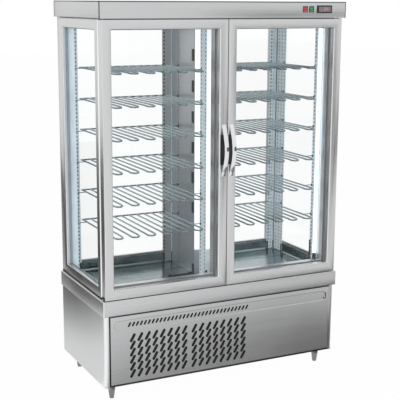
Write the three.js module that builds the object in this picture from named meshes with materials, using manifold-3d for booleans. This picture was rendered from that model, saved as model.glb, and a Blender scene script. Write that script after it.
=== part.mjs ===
// Two-door refrigerated glass display cabinet with fixed wire shelves, in millimetres, +Z up.
// The cabinet stands on its feet at z = 0, its doors face -Y, and the origin is under the middle
// of its bounding box.
import * as THREE from 'three';
import { mergeVertices } from 'three/addons/utils/BufferGeometryUtils.js';
import Module from 'manifold-3d';

const wasm = await Module();
wasm.setup();

// Overall size, over the cap and without the door handles
const cabinetWidth = 1320;
const cabinetDepth = 640;
const cabinetHeight = 1894;

// Shared clearances and sheet
const fitGap = 0.3;
const cutOverrun = 5;
const sheet = 3;
const weldTolerance = 0.0005;

// Base: feet, machine casing and the wider deck band above it
const footHeight = 60;
const footTipRadius = 11;
const footCollarRadius = 18;
const footCollarHeight = 12;
const footStemRadius = 6;
const footStemLength = 5.5;
const footFrontInset = 35;
const footBackInset = 140;
const footLeftInset = 50;
const footRightInset = 104;
const casingHeight = 359;
const casingSideInset = 9;
const casingFaceInset = 13;
const casingCornerRadius = 22;
const casingReturn = 23;
const bandHeight = 76.4;
const bandSideInset = 3;
const bandFaceInset = 5;

// Front service panel, hinged at its left edge
const panelSideGap = 8;
const panelBottomGap = 6;
const panelTopGap = 3;
const panelThickness = 4;
const channelHeight = 52;
const channelDrop = 25;
const channelDepth = 2;
const channelEndMargin = 18;
const ventSlotWidth = 6;
const ventSlotRise = 22;
const ventSlotRun = 13;
const ventSlotPitch = 20.8;
const ventSlotCount = 32;
const ventStart = 88.5;
const louvreWidth = 8.5;
const louvreRise = 41;
const louvreRun = 24;
const louvrePitch = 39.7;
const louvreRowPitch = 36.5;
const louvreColumns = 8;
const louvreRows = 6;
const louvreStart = 95.5;
const louvreBottom = 42.5;
const louvreBankGap = 30;
const panelPinRadius = 3;
const panelPinLength = 22;
const panelKnuckle = 14;
const panelKnuckleHeight = 28;
const runningGap = 0.4;

// Glazed body: frames between the deck and the cap
const frameSideInset = 15;
const frameBackInset = 4;
const sideFrameThickness = 32;
const backFrameThickness = 54;
const frontFrameDepth = 43;
const backStileWidth = 75;
const backWindowMargin = 38;
const frontStileWidth = 12.7;
const mullionWidth = 90;
const sillHeight = 51.7;
const headHeight = 50;
const glassThickness = 12.7;
const glassCapture = 12;

// Tub: the pressed floor with its raised rim and its skirt
const tubFloorDrop = 6;
const tubRimRise = 55;
const tubWall = 2.7;

// Perforated standards, centre air duct and the shelves that hook into them
const backLegWidth = 45;
const sideLegWidth = 93;
const frontSideLegWidth = 85;
const frontLegWidth = 10;
const ductWidth = 76;
const ductFrontSetback = 196;
const ductFlange = 55;
const ductSlotWidth = 18;
const ductSlotHeight = 60;
const ductSlotRise = 30;
const ductSlotSetback = 14;
const centrePostFront = 62;
const centrePostDepth = 69;
const shelfLevels = 6;
const lowestShelf = 291;
const shelfPitch = 157.3;
const shelfSideGap = 46.7;
const shelfCentreGap = 42;
const shelfBackGap = 10.7;
const shelfFrontGap = 26;
const wireDiameter = 6;
const wireCount = 12;
const hookWidth = 10;
const hookReach = 2;
const backHookInset = 81;
const frontHookInset = 115;
const outerHookInset = 80;

// Doors
const doorSideInset = 16;
const doorFaceInset = 8;
const doorThickness = 48;
const doorMeetingGap = 3;
const doorBottomGap = 3;
const doorTopGap = 2.7;
const doorStile = 45;
const doorTopRail = 46;
const doorBottomRail = 50;
const gasketGap = 6;
const gasketInset = 8;
const gasketWidth = 14;
const hingeInset = 12;
const hingeSetback = 22;
const hingePinRadius = 5;
const hingePinReach = 16;
const hingeHeadRadius = 9;
const hingeHeadHeight = 3;
const handleLength = 256;
const handleWidth = 22;
const handleThickness = 4;
const handleReach = 34;
const handleInset = 19.5;
const handleBottom = 558;
const handleFootLength = 14;

// Cap and its controls
const capHeight = 79;
const switchWidth = 25;
const switchHeight = 31;
const switchRimWidth = 3;
const switchStandProud = 2;
const switchPitch = 35.5;
const switchRise = 43;
const firstSwitchInset = 239;
const switchBodyDepth = 16;
const switchBodyMargin = 6;
const rockerThickness = 9;
const rockerTilt = 7;
const rockerSideGap = 0.4;
const rockerEndGap = 1.7;
const rockerPinRadius = 1.2;
const rockerPinLength = 1.2;
const controllerWidth = 84;
const controllerHeight = 38;
const controllerBezel = 4.7;
const controllerBodyWidth = 71;
const controllerBodyHeight = 29;
const controllerBodyDepth = 58;
const controllerInset = 127;

// Lamps
const lampRadius = 8;
const lampCapRadius = 11;
const lampCapLength = 26;
const lampSideInset = 68;
const lampFrontInset = 122;

// Machinery
const blowerRadius = 28;
const blowerBlades = 12;
const blowerBladeDepth = 8;
const blowerShaftRadius = 4;
const blowerEndGap = 34;
const blowerRise = 70;
const evaporatorHeight = 160;
const evaporatorRise = 112;
const evaporatorEndGap = 46;
const evaporatorFins = 12;
const evaporatorFinDepth = 10;
const compressorRadius = 82;
const compressorHeight = 196;
const compressorDome = 40;
const compressorSideInset = 250;
const compressorBackInset = 190;
const condenserWidth = 540;
const condenserHeight = 250;
const condenserDepth = 50;
const condenserSetback = 36;
const condenserSideInset = 180;
const fanRadius = 86;
const fanHubRadius = 30;
const fanDepth = 26;
const fanBlades = 5;
const fanBladeThickness = 4;
const fanBladePitch = 32;
const fanTipGap = 6;
const shroudDepth = 48;
const shroudSheet = 4;
const shroudArmWidth = 14;
const motorRadius = 36;
const motorLength = 60;
const motorShaftRadius = 6;
const glandRadius = 9;
const glandFlangeRadius = 15;
const glandFlangeLength = 8;
const glandNutLength = 12;
const glandRise = 70;
const glandSideInset = 170;

// Round work
const roundSides = 16;
const smallRoundSides = 12;
const cornerSteps = 4;
const handleSteps = 14;

// Heights
const casingBottom = footHeight;
const casingTop = casingBottom + casingHeight;
const bandBottom = casingTop + fitGap;
const bandTop = bandBottom + bandHeight + fitGap;
const capBottom = cabinetHeight - capHeight;
const frameBottom = bandTop + fitGap;
const frameTop = capBottom - fitGap;
const windowBottom = frameBottom + sillHeight;
const windowTop = frameTop - headHeight;
const tubFloor = bandTop - tubFloorDrop;
const tubRim = tubFloor + tubRimRise;
const standardBottom = tubFloor + fitGap;

// Widths and depths, from the middle of the cap
const halfWidth = cabinetWidth / 2;
const halfDepth = cabinetDepth / 2;
const casingHalfWidth = halfWidth - casingSideInset;
const casingHalfDepth = halfDepth - casingFaceInset;
const bandHalfWidth = halfWidth - bandSideInset;
const bandHalfDepth = halfDepth - bandFaceInset;
const frameHalfWidth = halfWidth - frameSideInset;
const frameInner = frameHalfWidth - sideFrameThickness;
const betweenFrames = frameInner - fitGap;
const doorFront = -(halfDepth - doorFaceInset);
const doorBack = doorFront + doorThickness;
const frameFront = doorBack + gasketGap;
const frontFrameBack = frameFront + frontFrameDepth;
const frameBack = halfDepth - frameBackInset;
const backFrameFront = frameBack - backFrameThickness;
const tubHalfWidth = betweenFrames - tubWall;
const tubFront = frontFrameBack + fitGap + tubWall;
const tubBack = backFrameFront - fitGap - tubWall;
const standardOuter = tubHalfWidth - fitGap;
const standardInner = standardOuter - sheet;
const standardBack = tubBack - fitGap;
const standardFace = standardBack - sheet;
const standardFront = tubFront + fitGap;
const ductHalf = ductWidth / 2;
const ductFront = frontFrameBack + ductFrontSetback;
const centrePostStart = frontFrameBack + centrePostFront;
const shelfInner = ductHalf + shelfCentreGap;
const shelfOuter = standardInner - shelfSideGap;
const shelfBack = standardFace - shelfBackGap;
const shelfFront = -(halfDepth - doorFaceInset - doorThickness - gasketGap - shelfFrontGap);
const backHook = standardFace - backHookInset;
const frontHook = frontFrameBack + frontHookInset;
const outerHook = frontFrameBack + outerHookInset;
const shelfHeights = [...Array(shelfLevels).keys()].map(level => tubFloor + lowestShelf + level * shelfPitch);

// The handles stand out past the cap, so the whole model moves back by half of that
const handleFront = doorFront - handleReach;
const middleShift = (-halfDepth - handleFront) / 2;

const cabinet = new THREE.Group();
cabinet.position.y = middleShift;

function finish(color, roughness, metalness, opacity = 1) {
  return new THREE.MeshStandardMaterial({ color, roughness, metalness, opacity, transparent: opacity < 1 });
}

const brushedSteel = finish(0xc4c5c6, 0.35, 0.9);
const anodisedFrame = finish(0xc6c7c8, 0.38, 0.9);
const polishedSteel = finish(0xd9dcde, 0.12, 1);
const perforatedSteel = finish(0xaeb6ba, 0.3, 0.9);
const chrome = finish(0xe6e8ea, 0.08, 1);
const glazing = finish(0xcfe4e4, 0.03, 0, 0.35);
const rubber = finish(0x17181a, 0.85, 0);
const blackPlastic = finish(0x1d1e20, 0.5, 0);
const redLens = finish(0xb81f2b, 0.25, 0);
const greenLens = finish(0x1fae55, 0.25, 0);
const lampGlass = finish(0xf4fbff, 0.3, 0);
const blackEnamel = finish(0x232427, 0.4, 0.2);
const aluminium = finish(0xb9bdc0, 0.4, 0.9);

function addPart(name, geometry, material) {
  const mesh = new THREE.Mesh(geometry, material);
  mesh.name = name;
  cabinet.add(mesh);
  return mesh;
}

// Geometry and solids

function toSolid(geometry) {
  const bare = geometry.clone();
  bare.deleteAttribute('normal');
  bare.deleteAttribute('uv');
  const merged = mergeVertices(bare, weldTolerance);
  const vertProperties = new Float32Array(merged.getAttribute('position').array);
  const triVerts = new Uint32Array(merged.getIndex().array);
  return new wasm.Manifold(new wasm.Mesh({ numProp: 3, vertProperties, triVerts }));
}

function toGeometry(solid) {
  const mesh = solid.getMesh();
  const geometry = new THREE.BufferGeometry();
  geometry.setAttribute('position', new THREE.BufferAttribute(mesh.vertProperties, mesh.numProp));
  geometry.setIndex(new THREE.BufferAttribute(mesh.triVerts, 1));
  geometry.computeVertexNormals();
  return geometry;
}

function joined(solids) {
  return solids.reduce((whole, piece) => whole.add(piece));
}

function cut(solid, tools) {
  return tools.reduce((whole, tool) => whole.subtract(tool), solid);
}

function block(x0, x1, y0, y1, z0, z1) {
  const geometry = new THREE.BoxGeometry(Math.abs(x1 - x0), Math.abs(y1 - y0), Math.abs(z1 - z0));
  geometry.translate((x0 + x1) / 2, (y0 + y1) / 2, (z0 + z1) / 2);
  return toSolid(geometry);
}

function outline(points) {
  return new THREE.Shape(points.map(([a, b]) => new THREE.Vector2(a, b)));
}

function hole(points) {
  return new THREE.Path(points.map(([a, b]) => new THREE.Vector2(a, b)));
}

function extruded(shape, depth) {
  return new THREE.ExtrudeGeometry(shape, { depth, bevelEnabled: false, curveSegments: cornerSteps });
}

// A plan outline in x and y, standing from z0 to z1
function plan(shape, z0, z1) {
  return toSolid(extruded(shape, z1 - z0).translate(0, 0, z0));
}

// A front outline in x and z, running from y0 to y1
function frontal(shape, y0, y1) {
  const geometry = extruded(shape, y1 - y0);
  geometry.rotateX(Math.PI / 2);
  return toSolid(geometry.translate(0, y1, 0));
}

// A side outline in y and z, running from x0 to x1
function lateral(shape, x0, x1) {
  const geometry = extruded(shape, x1 - x0);
  const turn = new THREE.Matrix4().makeBasis(
    new THREE.Vector3(0, 1, 0),
    new THREE.Vector3(0, 0, 1),
    new THREE.Vector3(1, 0, 0),
  );
  return toSolid(geometry.applyMatrix4(turn).translate(x0, 0, 0));
}

// A turned profile of [radius, height] pairs about a vertical axis at x, y
function turned(profile, x, y, sides = roundSides) {
  const geometry = new THREE.LatheGeometry(profile.map(([r, h]) => new THREE.Vector2(r, h)), sides);
  geometry.rotateX(Math.PI / 2);
  return toSolid(geometry.translate(x, y, 0));
}

// The same about an axis that runs along +Y through x, z
function turnedAlongY(profile, x, z, sides = roundSides) {
  const geometry = new THREE.LatheGeometry(profile.map(([r, h]) => new THREE.Vector2(r, h)), sides);
  return toSolid(geometry.translate(x, 0, z));
}

function rod(radius, x, y, z0, z1, sides = smallRoundSides) {
  return turned([[0, z0], [radius, z0], [radius, z1], [0, z1]], x, y, sides);
}

function rodAlongY(radius, x, z, y0, y1, sides = smallRoundSides) {
  return turnedAlongY([[0, y0], [radius, y0], [radius, y1], [0, y1]], x, z, sides);
}

function rectangle(a0, a1, b0, b1) {
  return [[a0, b0], [a1, b0], [a1, b1], [a0, b1]];
}

// Base

const footPlaces = {
  front_left_foot: [-halfWidth + footLeftInset, -halfDepth + footFrontInset],
  front_right_foot: [halfWidth - footRightInset, -halfDepth + footFrontInset],
  back_left_foot: [-halfWidth + footLeftInset, halfDepth - footBackInset],
  back_right_foot: [halfWidth - footRightInset, halfDepth - footBackInset],
};

const panelLeft = -casingHalfWidth + casingReturn + panelSideGap;
const panelBottom = casingBottom + panelBottomGap;
const panelTop = casingTop - panelTopGap;
const panelFront = -casingHalfDepth;
const panelBack = panelFront + panelThickness;
const panelPinX = panelLeft + panelKnuckle / 2;
const panelPinY = panelBack + panelKnuckle / 2;

function addFeet() {
  for (const [name, [x, y]] of Object.entries(footPlaces)) {
    const top = footHeight - fitGap;
    const profile = [
      [0, 0],
      [footTipRadius, 0],
      [footCollarRadius, top - footCollarHeight],
      [footCollarRadius, top],
      [footStemRadius, top],
      [footStemRadius, top + footStemLength],
      [0, top + footStemLength],
    ];
    addPart(name, toGeometry(turned(profile, x, y)), brushedSteel);
  }
}

// The casing's outer plan: square at the back, round at the two front corners
function casingPlan(halfX, halfY, radius) {
  const shape = new THREE.Shape();
  shape.moveTo(-halfX, halfY);
  shape.lineTo(-halfX, -halfY + radius);
  shape.absarc(-halfX + radius, -halfY + radius, radius, Math.PI, 1.5 * Math.PI, false);
  shape.lineTo(halfX - radius, -halfY);
  shape.absarc(halfX - radius, -halfY + radius, radius, 1.5 * Math.PI, 2 * Math.PI, false);
  shape.lineTo(halfX, halfY);
  shape.closePath();
  return shape;
}

const glandX = halfWidth - glandSideInset;
const glandZ = casingBottom + glandRise;

function addCasing() {
  const outerPlan = casingPlan(casingHalfWidth, casingHalfDepth, casingCornerRadius);
  const outer = plan(outerPlan, casingBottom, casingTop);
  const innerPlan = casingPlan(casingHalfWidth - sheet, casingHalfDepth - sheet, casingCornerRadius - sheet);
  const inner = plan(innerPlan, casingBottom + sheet, casingTop + cutOverrun);
  const doorway = block(
    panelLeft - panelSideGap, -(panelLeft - panelSideGap),
    -casingHalfDepth - cutOverrun, -casingHalfDepth + sheet + fitGap,
    casingBottom + sheet, casingTop + cutOverrun,
  );
  const stemHoles = Object.values(footPlaces).map(([x, y]) => rod(
    footStemRadius + fitGap, x, y, casingBottom - cutOverrun, casingBottom + sheet + cutOverrun, roundSides,
  ));
  const glandHole = rodAlongY(
    glandRadius + fitGap, glandX, glandZ,
    casingHalfDepth - sheet - cutOverrun, casingHalfDepth + cutOverrun, roundSides,
  );
  const pinTop = panelBottom + panelPinLength;
  const pin = rod(panelPinRadius, panelPinX, panelPinY, casingBottom + sheet / 2, pinTop);
  const shell = cut(outer, [inner, doorway, ...stemHoles, glandHole]);
  addPart('base_casing', toGeometry(joined([shell, pin])), brushedSteel);
}

function addDeckBand() {
  const outer = block(-bandHalfWidth, bandHalfWidth, -bandHalfDepth, bandHalfDepth, bandBottom, bandTop);
  const hollow = block(
    -bandHalfWidth + sheet, bandHalfWidth - sheet, -bandHalfDepth + sheet, bandHalfDepth - sheet,
    bandBottom + sheet, bandTop - sheet,
  );
  const mouth = block(
    -frameInner, frameInner, frontFrameBack, backFrameFront,
    bandTop - sheet - cutOverrun, bandTop + cutOverrun,
  );
  const pinHoles = [-1, 1].map(side => rod(
    hingePinRadius + fitGap, side * hingeX, hingeY, bandTop - sheet - cutOverrun, bandTop + cutOverrun,
  ));
  const pinBottom = panelTop - panelPinLength;
  const pin = rod(panelPinRadius, panelPinX, panelPinY, pinBottom, bandBottom + sheet / 2);
  addPart('deck_band', toGeometry(joined([cut(outer, [hollow, mouth, ...pinHoles]), pin])), brushedSteel);
}

function addTub() {
  const outer = block(
    -betweenFrames, betweenFrames, tubFront - tubWall, tubBack + tubWall, bandBottom + sheet + fitGap, tubRim,
  );
  const recess = block(-tubHalfWidth, tubHalfWidth, tubFront, tubBack, tubFloor, tubRim + cutOverrun);
  const underside = block(
    -tubHalfWidth, tubHalfWidth, tubFront, tubBack, bandBottom - cutOverrun, tubFloor - sheet,
  );
  addPart('floor_tub', toGeometry(cut(outer, [recess, underside])), polishedSteel);
}

// A slanted slot that leans to the right, from its lower left corner
function slantedSlot(x, z, run, rise, width) {
  const length = Math.hypot(run, rise);
  const acrossX = (rise / length) * width;
  const acrossZ = (run / length) * width;
  return hole([
    [x, z + acrossZ],
    [x + acrossX, z],
    [x + acrossX + run, z + rise],
    [x + run, z + rise + acrossZ],
  ]);
}

function addFrontPanel() {
  const face = outline(rectangle(panelLeft, -panelLeft, panelBottom, panelTop));
  const channelTop = panelTop - channelDrop;
  const channelBottom = channelTop - channelHeight;
  const ventBottom = (channelTop + channelBottom - ventSlotRise) / 2;
  for (let i = 0; i < ventSlotCount; i += 1) {
    const x = panelLeft + ventStart + i * ventSlotPitch;
    face.holes.push(slantedSlot(x, ventBottom, ventSlotRun, ventSlotRise, ventSlotWidth));
  }
  const bankWidth = (louvreColumns - 1) * louvrePitch + louvreRun;
  for (let bank = 0; bank < 2; bank += 1) {
    for (let column = 0; column < louvreColumns; column += 1) {
      for (let row = 0; row < louvreRows; row += 1) {
        const x = panelLeft + louvreStart + bank * (bankWidth + louvreBankGap) + column * louvrePitch;
        const z = panelBottom + louvreBottom + row * louvreRowPitch - louvreRowPitch / 2;
        face.holes.push(slantedSlot(x, z, louvreRun, louvreRise, louvreWidth));
      }
    }
  }
  const plate = frontal(face, panelFront, panelBack);
  const end = channelHeight / 2;
  const channelLeft = panelLeft + channelEndMargin;
  const channel = new THREE.Shape();
  channel.moveTo(channelLeft + end, channelBottom);
  channel.lineTo(-channelLeft - end, channelBottom);
  channel.absarc(-channelLeft - end, channelBottom + end, end, -Math.PI / 2, Math.PI / 2, false);
  channel.lineTo(channelLeft + end, channelTop);
  channel.absarc(channelLeft + end, channelBottom + end, end, Math.PI / 2, 1.5 * Math.PI, false);
  const recess = frontal(channel, panelFront - cutOverrun, panelFront + channelDepth);
  const knuckle = (z0, z1) => block(
    panelLeft, panelLeft + panelKnuckle, panelBack - channelDepth / 2, panelBack + panelKnuckle, z0, z1,
  );
  const knuckles = [
    knuckle(panelBottom, panelBottom + panelKnuckleHeight),
    knuckle(panelTop - panelKnuckleHeight, panelTop),
  ];
  const bore = rod(
    panelPinRadius + runningGap, panelPinX, panelPinY, panelBottom - cutOverrun, panelTop + cutOverrun,
  );
  addPart('front_panel', toGeometry(cut(joined([plate, ...knuckles]), [recess, bore])), brushedSteel);
}

function addGland() {
  const inside = casingHalfDepth - sheet - fitGap;
  const outside = casingHalfDepth + fitGap;
  const profile = [
    [0, inside - glandNutLength],
    [glandFlangeRadius, inside - glandNutLength],
    [glandFlangeRadius, inside],
    [glandRadius, inside],
    [glandRadius, outside],
    [glandFlangeRadius, outside],
    [glandFlangeRadius, outside + glandFlangeLength],
    [0, outside + glandFlangeLength],
  ];
  addPart('cable_gland', toGeometry(turnedAlongY(profile, glandX, glandZ)), blackPlastic);
}

// Machinery behind the front panel

const condenserLeft = panelLeft + condenserSideInset;
const condenserRight = condenserLeft + condenserWidth;
const condenserFront = panelBack + condenserSetback;
const condenserBack = condenserFront + condenserDepth;
const machineFloor = casingBottom + sheet + fitGap;
const fanX = (condenserLeft + condenserRight) / 2;
const fanZ = machineFloor + condenserHeight / 2;
const shroudFront = condenserBack + fitGap;
const shroudBack = shroudFront + shroudDepth;
const fanFront = shroudFront + (shroudDepth - shroudSheet - fanDepth) / 2;

function addCondenser() {
  const body = block(
    condenserLeft, condenserRight, condenserFront, condenserBack,
    machineFloor, machineFloor + condenserHeight,
  );
  addPart('condenser', toGeometry(body), aluminium);
}

function addShroud() {
  const ringRadius = fanRadius + fanTipGap;
  const plate = block(
    condenserLeft, condenserRight, shroudFront, shroudFront + shroudSheet,
    machineFloor, machineFloor + condenserHeight,
  );
  const ring = rodAlongY(ringRadius + shroudSheet, fanX, fanZ, shroudFront, shroudBack, roundSides);
  const bore = rodAlongY(
    ringRadius, fanX, fanZ, shroudFront - cutOverrun, shroudBack + cutOverrun, roundSides,
  );
  const armHalf = shroudArmWidth / 2;
  const armBack = shroudBack - shroudSheet;
  const across = ringRadius + shroudSheet / 2;
  const arms = [
    block(fanX - across, fanX + across, armBack, shroudBack, fanZ - armHalf, fanZ + armHalf),
    block(fanX - armHalf, fanX + armHalf, armBack, shroudBack, fanZ - across, fanZ + across),
  ];
  const motor = rodAlongY(motorRadius, fanX, fanZ, armBack, armBack + motorLength, roundSides);
  const shaft = rodAlongY(motorShaftRadius, fanX, fanZ, fanFront, armBack + shroudSheet);
  const duct = joined([plate, ring]).subtract(bore);
  addPart('fan_shroud', toGeometry(joined([duct, ...arms, motor, shaft])), blackEnamel);
}

function addCondenserFan() {
  const hub = rodAlongY(fanHubRadius, fanX, fanZ, fanFront, fanFront + fanDepth, roundSides);
  const blades = [...Array(fanBlades).keys()].map((index) => {
    const length = fanRadius - fanHubRadius / 2;
    const geometry = new THREE.BoxGeometry(fanDepth * Math.SQRT2, fanBladeThickness, length);
    geometry.rotateZ(THREE.MathUtils.degToRad(fanBladePitch));
    geometry.translate(0, 0, fanHubRadius / 2 + length / 2);
    geometry.rotateY((index / fanBlades) * 2 * Math.PI);
    return toSolid(geometry.translate(fanX, fanFront + fanDepth / 2, fanZ));
  });
  const bore = rodAlongY(
    motorShaftRadius + runningGap, fanX, fanZ, fanFront - cutOverrun, fanFront + fanDepth + cutOverrun,
  );
  addPart('condenser_fan', toGeometry(joined([hub, ...blades]).subtract(bore)), blackPlastic);
}

function addCompressor() {
  const x = halfWidth - compressorSideInset;
  const y = halfDepth - compressorBackInset;
  const top = machineFloor + compressorHeight;
  const profile = [
    [0, machineFloor],
    [compressorRadius, machineFloor],
    [compressorRadius, top - compressorDome],
  ];
  for (let step = 1; step < cornerSteps; step += 1) {
    const angle = (step / cornerSteps) * Math.PI / 2;
    const drop = compressorDome * (1 - Math.sin(angle));
    profile.push([compressorRadius * Math.cos(angle), top - drop]);
  }
  profile.push([0, top]);
  addPart('compressor', toGeometry(turned(profile, x, y)), blackEnamel);
}

// Glazed frames

function addSideFrame(name, glassName, side) {
  const outer = frameHalfWidth;
  const inner = frameInner;
  const glassOuter = inner + fitGap + glassThickness;
  const windowBack = frameBack - backStileWidth;
  const body = block(side * inner, side * outer, frameFront, frameBack, frameBottom, frameTop);
  const window = block(
    side * (inner - cutOverrun), side * (outer + cutOverrun), frontFrameBack, windowBack,
    windowBottom, windowTop,
  );
  const capture = glassCapture;
  const rebate = block(
    side * (inner - cutOverrun), side * (glassOuter + fitGap),
    frontFrameBack - capture, windowBack + capture, windowBottom - capture, windowTop + capture,
  );
  addPart(name, toGeometry(cut(body, [window, rebate])), anodisedFrame);
  const held = capture - fitGap;
  const glass = block(
    side * (inner + fitGap), side * glassOuter,
    frontFrameBack - held, windowBack + held, windowBottom - held, windowTop + held,
  );
  addPart(glassName, toGeometry(glass), glazing);
}

function addBackFrame() {
  const windowHalf = betweenFrames - backWindowMargin;
  const glassBack = backFrameFront + fitGap + glassThickness;
  const body = block(-betweenFrames, betweenFrames, backFrameFront, frameBack, frameBottom, frameTop);
  const window = block(
    -windowHalf, windowHalf, backFrameFront - cutOverrun, frameBack + cutOverrun, windowBottom, windowTop,
  );
  const wide = windowHalf + glassCapture;
  const rebate = block(
    -wide, wide, backFrameFront - cutOverrun, glassBack + fitGap,
    windowBottom - glassCapture, windowTop + glassCapture,
  );
  addPart('back_frame', toGeometry(cut(body, [window, rebate])), anodisedFrame);
  const held = glassCapture - fitGap;
  const glass = block(
    -windowHalf - held, windowHalf + held, backFrameFront + fitGap, glassBack,
    windowBottom - held, windowTop + held,
  );
  addPart('back_glass', toGeometry(glass), glazing);
}

function addFrontFrame() {
  const body = block(-betweenFrames, betweenFrames, frameFront, frontFrameBack, frameBottom, frameTop);
  const openings = [-1, 1].map(side => block(
    side * mullionWidth / 2, side * (betweenFrames - frontStileWidth),
    frameFront - cutOverrun, frontFrameBack + cutOverrun, windowBottom, windowTop,
  ));
  addPart('front_frame', toGeometry(cut(body, openings)), anodisedFrame);
}

// Standards and duct: sheet that the shelves' hooks pass through

function hookSlots(x0, x1, y) {
  const half = hookWidth / 2 + fitGap;
  return shelfHeights.map(top => block(
    x0, x1, y - half, y + half, top - wireDiameter - fitGap, top + fitGap,
  ));
}

function addBackPost(name, side) {
  const legInner = standardInner - backLegWidth;
  const shape = outline([
    [side * standardOuter, standardFace + sheet],
    [side * legInner, standardFace + sheet],
    [side * legInner, standardFace],
    [side * standardInner, standardFace],
    [side * standardInner, standardFace - sideLegWidth],
    [side * standardOuter, standardFace - sideLegWidth],
  ]);
  const post = plan(shape, standardBottom, frameTop);
  const [near, far] = [standardInner - cutOverrun, standardOuter + cutOverrun];
  const slots = hookSlots(side * near, side * far, backHook);
  addPart(name, toGeometry(cut(post, slots)), perforatedSteel);
}

function addFrontPost(name, side) {
  const shape = outline([
    [side * standardOuter, standardFront],
    [side * (standardOuter - frontLegWidth), standardFront],
    [side * (standardOuter - frontLegWidth), standardFront + sheet],
    [side * standardInner, standardFront + sheet],
    [side * standardInner, standardFront + frontSideLegWidth],
    [side * standardOuter, standardFront + frontSideLegWidth],
  ]);
  const post = plan(shape, standardBottom, frameTop);
  const [near, far] = [standardInner - cutOverrun, standardOuter + cutOverrun];
  const slots = hookSlots(side * near, side * far, outerHook);
  addPart(name, toGeometry(cut(post, slots)), perforatedSteel);
}

function addCentrePost() {
  const inner = ductHalf - sheet;
  const shape = outline(rectangle(-ductHalf, ductHalf, centrePostStart, centrePostStart + centrePostDepth));
  const bore = rectangle(-inner, inner, centrePostStart + sheet, centrePostStart + centrePostDepth - sheet);
  shape.holes.push(hole(bore));
  const slots = hookSlots(-ductHalf - cutOverrun, ductHalf + cutOverrun, frontHook);
  addPart('centre_post', toGeometry(cut(plan(shape, standardBottom, frameTop), slots)), perforatedSteel);
}

function addAirDuct() {
  const flange = ductHalf + ductFlange;
  const shape = outline([
    [-flange, standardBack],
    [-flange, standardFace],
    [-ductHalf, standardFace],
    [-ductHalf, ductFront],
    [ductHalf, ductFront],
    [ductHalf, standardFace],
    [flange, standardFace],
    [flange, standardBack],
  ]);
  shape.holes.push(hole(rectangle(-ductHalf + sheet, ductHalf - sheet, ductFront + sheet, standardFace)));
  const slotFront = ductFront + ductSlotSetback;
  const outlets = shelfHeights.map(top => block(
    -ductHalf - cutOverrun, ductHalf + cutOverrun, slotFront, slotFront + ductSlotWidth,
    top + ductSlotRise, top + ductSlotRise + ductSlotHeight,
  ));
  const hooks = hookSlots(-ductHalf - cutOverrun, ductHalf + cutOverrun, backHook);
  const shell = plan(shape, standardBottom, frameTop);
  addPart('air_duct', toGeometry(cut(shell, [...outlets, ...hooks])), perforatedSteel);
}

function addEvaporator() {
  const half = ductHalf - sheet - fitGap;
  const front = ductFront + sheet + evaporatorEndGap;
  const back = standardFace - evaporatorEndGap;
  const bottom = tubFloor + evaporatorRise;
  const top = bottom + evaporatorHeight;
  const pitch = (back - front) / evaporatorFins;
  const points = [[back, bottom], [front, bottom]];
  for (let fin = 0; fin < evaporatorFins; fin += 1) {
    const start = front + fin * pitch;
    points.push([start, top], [start + pitch / 2, top]);
    if (fin < evaporatorFins - 1) {
      points.push([start + pitch / 2, top - evaporatorFinDepth], [start + pitch, top - evaporatorFinDepth]);
    }
  }
  points.push([back - pitch / 2, top - evaporatorFinDepth], [back, top - evaporatorFinDepth]);
  addPart('evaporator', toGeometry(lateral(outline(points), -half, half)), aluminium);
}

const blowerZ = tubFloor + blowerRise;

function addBlower() {
  const rootRadius = blowerRadius - blowerBladeDepth;
  const points = [...Array(2 * blowerBlades).keys()].map((index) => {
    const angle = (index / blowerBlades) * Math.PI;
    const radius = index % 2 ? rootRadius : blowerRadius;
    return [radius * Math.cos(angle), blowerZ + radius * Math.sin(angle)];
  });
  const start = ductFront + sheet;
  const wheel = frontal(outline(points), start + blowerEndGap, standardFace - blowerEndGap);
  const shaft = rodAlongY(blowerShaftRadius, 0, blowerZ, start + fitGap, standardFace - fitGap);
  addPart('blower_wheel', toGeometry(joined([wheel, shaft])), aluminium);
}

// Shelves: hairpin wires on a back rod and a cross rod, with four hooks

function shelfPlate(side, top) {
  const width = shelfOuter - shelfInner;
  const pitch = (width - wireDiameter) / (wireCount - 1);
  const left = index => index * pitch;
  const right = index => index * pitch + wireDiameter;
  const crossFront = frontHook - wireDiameter / 2;
  const crossBack = crossFront + wireDiameter;
  const corner = wireDiameter / 2;
  const hookHalf = hookWidth / 2;
  const outerTip = standardOuter + hookReach - shelfInner;
  const innerTip = ductHalf - sheet - hookReach - shelfInner;
  const hook = (edge, tip, y, step) => [
    [edge, y + step * hookHalf],
    [tip, y + step * hookHalf],
    [tip, y - step * hookHalf],
    [edge, y - step * hookHalf],
  ];
  const points = [[0, shelfBack], [width, shelfBack]];
  points.push(...hook(width, outerTip, backHook, 1), ...hook(width, outerTip, outerHook, 1));
  for (let first = wireCount - 2; first >= 0; first -= 2) {
    const near = left(first);
    const far = right(first + 1);
    points.push([far, shelfFront + corner], [far - corner, shelfFront]);
    points.push([near + corner, shelfFront], [near, shelfFront + corner]);
    if (first > 0) {
      points.push([near, crossFront], [right(first - 1), crossFront]);
    }
  }
  points.push(...hook(0, innerTip, frontHook, -1), ...hook(0, innerTip, backHook, -1));
  const place = u => side * (shelfInner + u);
  const bottom = top - wireDiameter;
  const plate = plan(outline(points.map(([u, y]) => [place(u), y])), bottom, top);
  const gap = (index, y0, y1) => block(
    place(right(index)), place(left(index + 1)), y0, y1, bottom - cutOverrun, top + cutOverrun,
  );
  const gaps = [];
  for (let index = 0; index < wireCount - 1; index += 1) {
    gaps.push(gap(index, crossBack, shelfBack - wireDiameter));
    if (index % 2 === 0) {
      gaps.push(gap(index, shelfFront + wireDiameter, crossFront));
    }
  }
  return cut(plate, gaps);
}

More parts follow.
